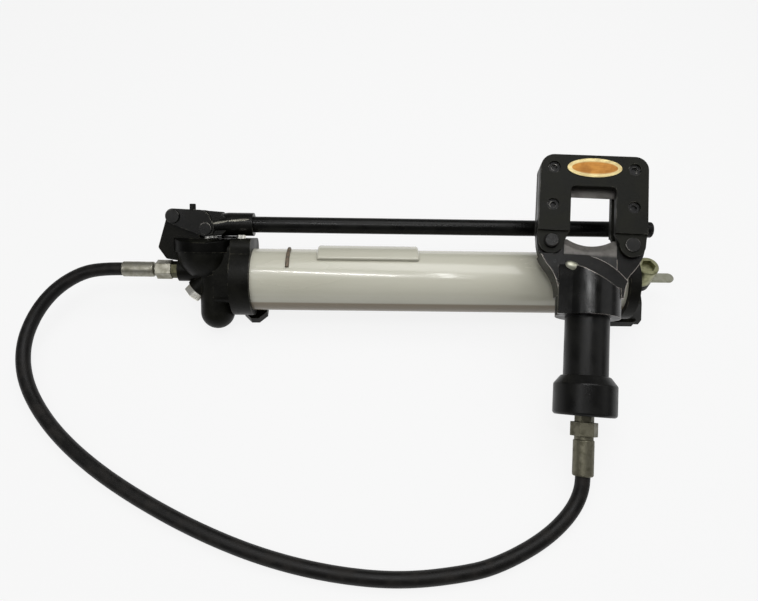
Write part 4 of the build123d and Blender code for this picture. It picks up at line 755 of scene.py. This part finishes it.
def make_lever_forms():
    """The rest behind the lever, the cheeks that join its fork to its socket, and its stud."""
    make_piece("lever_rest", *prism(REST_OUTLINE, REST_DEPTHS), "base", "pump_body")
    low, high = CHEEK_DEPTHS
    make_piece("lever_cheek_front", *prism(CHEEK_OUTLINE, (low, high)), "lever", "lever_casting")
    make_piece("lever_cheek_back", *prism(CHEEK_OUTLINE, (-high, -low)), "lever", "lever_casting")
    stud = cylinder(head_place(STUD_X, 0, STUD_DEPTH), PLUNGER_UP, STUD_HEIGHTS, STUD_RADIUS)
    make_piece("lever_stud", *stud, "lever", "lever_casting")


def ridge_height(right):
    """How far along the ram the barrel's oblique front ends."""
    for (start, low), (end, high) in zip(BARREL_RIDGE, BARREL_RIDGE[1:]):
        if right <= end:
            return low + (high - low) * (right - start) / (end - start)
    return BARREL_RIDGE[-1][1]


def make_barrel_front():
    """The front of the yoke's barrel: it ends obliquely, low on the right, with a left shoulder."""
    half = math.acos(CORE_FRONT / BARREL_RADIUS)
    profile = [BARREL_SHOULDER]
    for step in range(BARREL_STEPS + 1):
        share = step / BARREL_STEPS
        angle = half * (BARREL_RIGHT_SHARE * share - BARREL_LEFT_SHARE * (1 - share))
        profile.append((BARREL_RADIUS * math.sin(angle), BARREL_RADIUS * math.cos(angle)))
    sections = []
    for right, front in profile:
        high = ridge_height(right)
        corners = [(BARREL_BOTTOM, CORE_FRONT), (high, CORE_FRONT), (high, front), (BARREL_BOTTOM, front)]
        sections.append([cutter_place(right, along, depth) for along, depth in corners])
    make_piece("barrel_front", *capped(sections), "base", "yoke", "barrel_black")


def make_highlight_boss():
    """A bright rounded steel boss at the left end of the barrel's ridge, standing in for the highlight there."""
    along_boss = CUTTER_RIGHT * math.cos(BOSS_FALL) - RAM_AXIS * math.sin(BOSS_FALL)
    across_boss = CUTTER_RIGHT * math.sin(BOSS_FALL) + RAM_AXIS * math.cos(BOSS_FALL)
    directions = (along_boss, across_boss, PIN_AXIS)
    length, width, height = [direction * half for direction, half in zip(directions, BOSS_HALF)]
    rings = []
    for step in range(1, BOSS_RINGS):
        dip = math.pi * step / BOSS_RINGS - math.pi / 2
        middle = cutter_place(*BOSS_MIDDLE) + height * math.sin(dip)
        around = [length * math.cos(a) + width * math.sin(a) for a in turns(BOSS_SIDES)]
        rings.append([middle + reach * math.cos(dip) for reach in around])
    # A bright boss put where the ridge's end catches the light: it stands in for a highlight.
    make_piece("barrel_highlight_boss", *capped(rings), "base", "plug_tab")


def close_spring():
    """Gives the return spring a mesh of its own."""
    spring = NODES["return_spring"]
    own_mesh(spring)


def make_collar():
    """The collar that closes the cutter's hose end between its nut and its ferrule."""
    collar = cylinder(CUTTER_FOOT, RAM_AXIS, COLLAR_ENDS, COLLAR_RADIUS)
    return make_piece("cutter_collar", *collar, "base", "cutter_ferrule")


def make_hose(collar):
    """The hose: one smooth spline through the route, with the record's diameter."""
    curve = bpy.data.curves.new("hose_line", "CURVE")
    curve.dimensions = "3D"
    spline = curve.splines.new("NURBS")
    spline.points.add(len(HOSE_ROUTE) - 1)
    for point, place in zip(spline.points, HOSE_ROUTE):
        point.co = (*place, 1)
    spline.order_u = HOSE_ORDER
    spline.use_endpoint_u = True
    spline.resolution_u = HOSE_STEPS
    curve.bevel_depth = HOSE_DIAMETER / 2
    curve.bevel_resolution = HOSE_ROUND_STEPS
    curve.use_fill_caps = True
    hose = bpy.data.objects.new("hose_cover", curve)
    bpy.context.scene.collection.objects.link(hose)
    curve.materials.append(rubber("hose_rubber"))
    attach(hose, "base")
    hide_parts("hose")


def make_floor():
    """A white floor that keeps the object's shadow and shows white to the camera and in reflections."""
    mesh = bpy.data.meshes.new("floor")
    half = FLOOR_SIZE / 2
    corners = [(-half, -half, 0), (half, -half, 0), (half, half, 0), (-half, half, 0)]
    mesh.from_pydata(corners, [], [(0, 1, 2, 3)])
    floor = bpy.data.objects.new("floor", mesh)
    floor.location.z = cad_box[0].z - FLOOR_GAP
    bpy.context.scene.collection.objects.link(floor)
    material = bpy.data.materials.new("floor_white")
    material.use_nodes = True
    tree = material.node_tree
    tree.nodes.clear()
    output = tree.nodes.new("ShaderNodeOutputMaterial")
    diffuse = tree.nodes.new("ShaderNodeBsdfDiffuse")
    diffuse.inputs["Color"].default_value = FLOOR_COLOUR
    white = tree.nodes.new("ShaderNodeEmission")
    path = tree.nodes.new("ShaderNodeLightPath")
    seen = path.outputs["Is Camera Ray"]
    for kind in ("Is Glossy Ray", "Is Transmission Ray"):
        either = tree.nodes.new("ShaderNodeMath")
        either.operation = "MAXIMUM"
        tree.links.new(seen, either.inputs[0])
        tree.links.new(path.outputs[kind], either.inputs[1])
        seen = either.outputs[0]
    share = tree.nodes.new("ShaderNodeMath")
    share.operation = "MULTIPLY"
    share.inputs[1].default_value = FLOOR_OWN_LIGHT
    tree.links.new(seen, share.inputs[0])
    mixed = tree.nodes.new("ShaderNodeMixShader")
    tree.links.new(share.outputs[0], mixed.inputs[0])
    tree.links.new(diffuse.outputs[0], mixed.inputs[1])
    tree.links.new(white.outputs[0], mixed.inputs[2])
    tree.links.new(mixed.outputs[0], output.inputs["Surface"])
    mesh.materials.append(material)


def make_light(name, place, target, size, power):
    """A soft rectangular lamp at a place, looking at a target."""
    lamp = bpy.data.lights.new(name, "AREA")
    lamp.shape = "RECTANGLE"
    lamp.size, lamp.size_y = size
    lamp.energy = power
    light = bpy.data.objects.new(name, lamp)
    bpy.context.scene.collection.objects.link(light)
    light.location = place
    look = Vector(target) - Vector(place)
    light.rotation_mode = "QUATERNION"
    light.rotation_quaternion = look.to_track_quat("-Z", "Y")


def make_world():
    """An even light from all round."""
    world = bpy.data.worlds.new("studio")
    world.use_nodes = True
    background = world.node_tree.nodes["Background"]
    background.inputs["Color"].default_value = (1, 1, 1, 1)
    background.inputs["Strength"].default_value = WORLD_STRENGTH
    bpy.context.scene.world = world


def make_camera():
    """The photograph's view: dipped towards the floor, turned a little to the right, and rolled."""
    camera = bpy.data.cameras.new("camera")
    camera.lens = CAMERA_LENS
    camera.sensor_width = CAMERA_SENSOR
    camera.clip_start = CAMERA_NEAR
    holder = bpy.data.objects.new("camera", camera)
    bpy.context.scene.collection.objects.link(holder)
    aimed = Matrix.Rotation(-CAMERA_TURN, 4, "Z")
    dipped = Matrix.Rotation(math.pi / 2 - CAMERA_DIP, 4, "X")
    rolled = Matrix.Rotation(CAMERA_ROLL, 4, "Z")
    holder.matrix_world = Matrix.Translation(CAMERA_PLACE) @ aimed @ dipped @ rolled
    bpy.context.scene.camera = holder


make_camera()
finish_nodes()
make_hose(make_collar())
for node_name, edge_break in EDGE_BREAKS.items():
    break_edges(NODES[node_name], edge_break)
make_rim()
make_lever_forms()
make_barrel_front()
make_highlight_boss()
close_spring()
make_floor()
make_world()
for lamp_name, setting in LAMPS.items():
    make_light(lamp_name, *setting)
bpy.context.scene.view_settings.view_transform = "Standard"
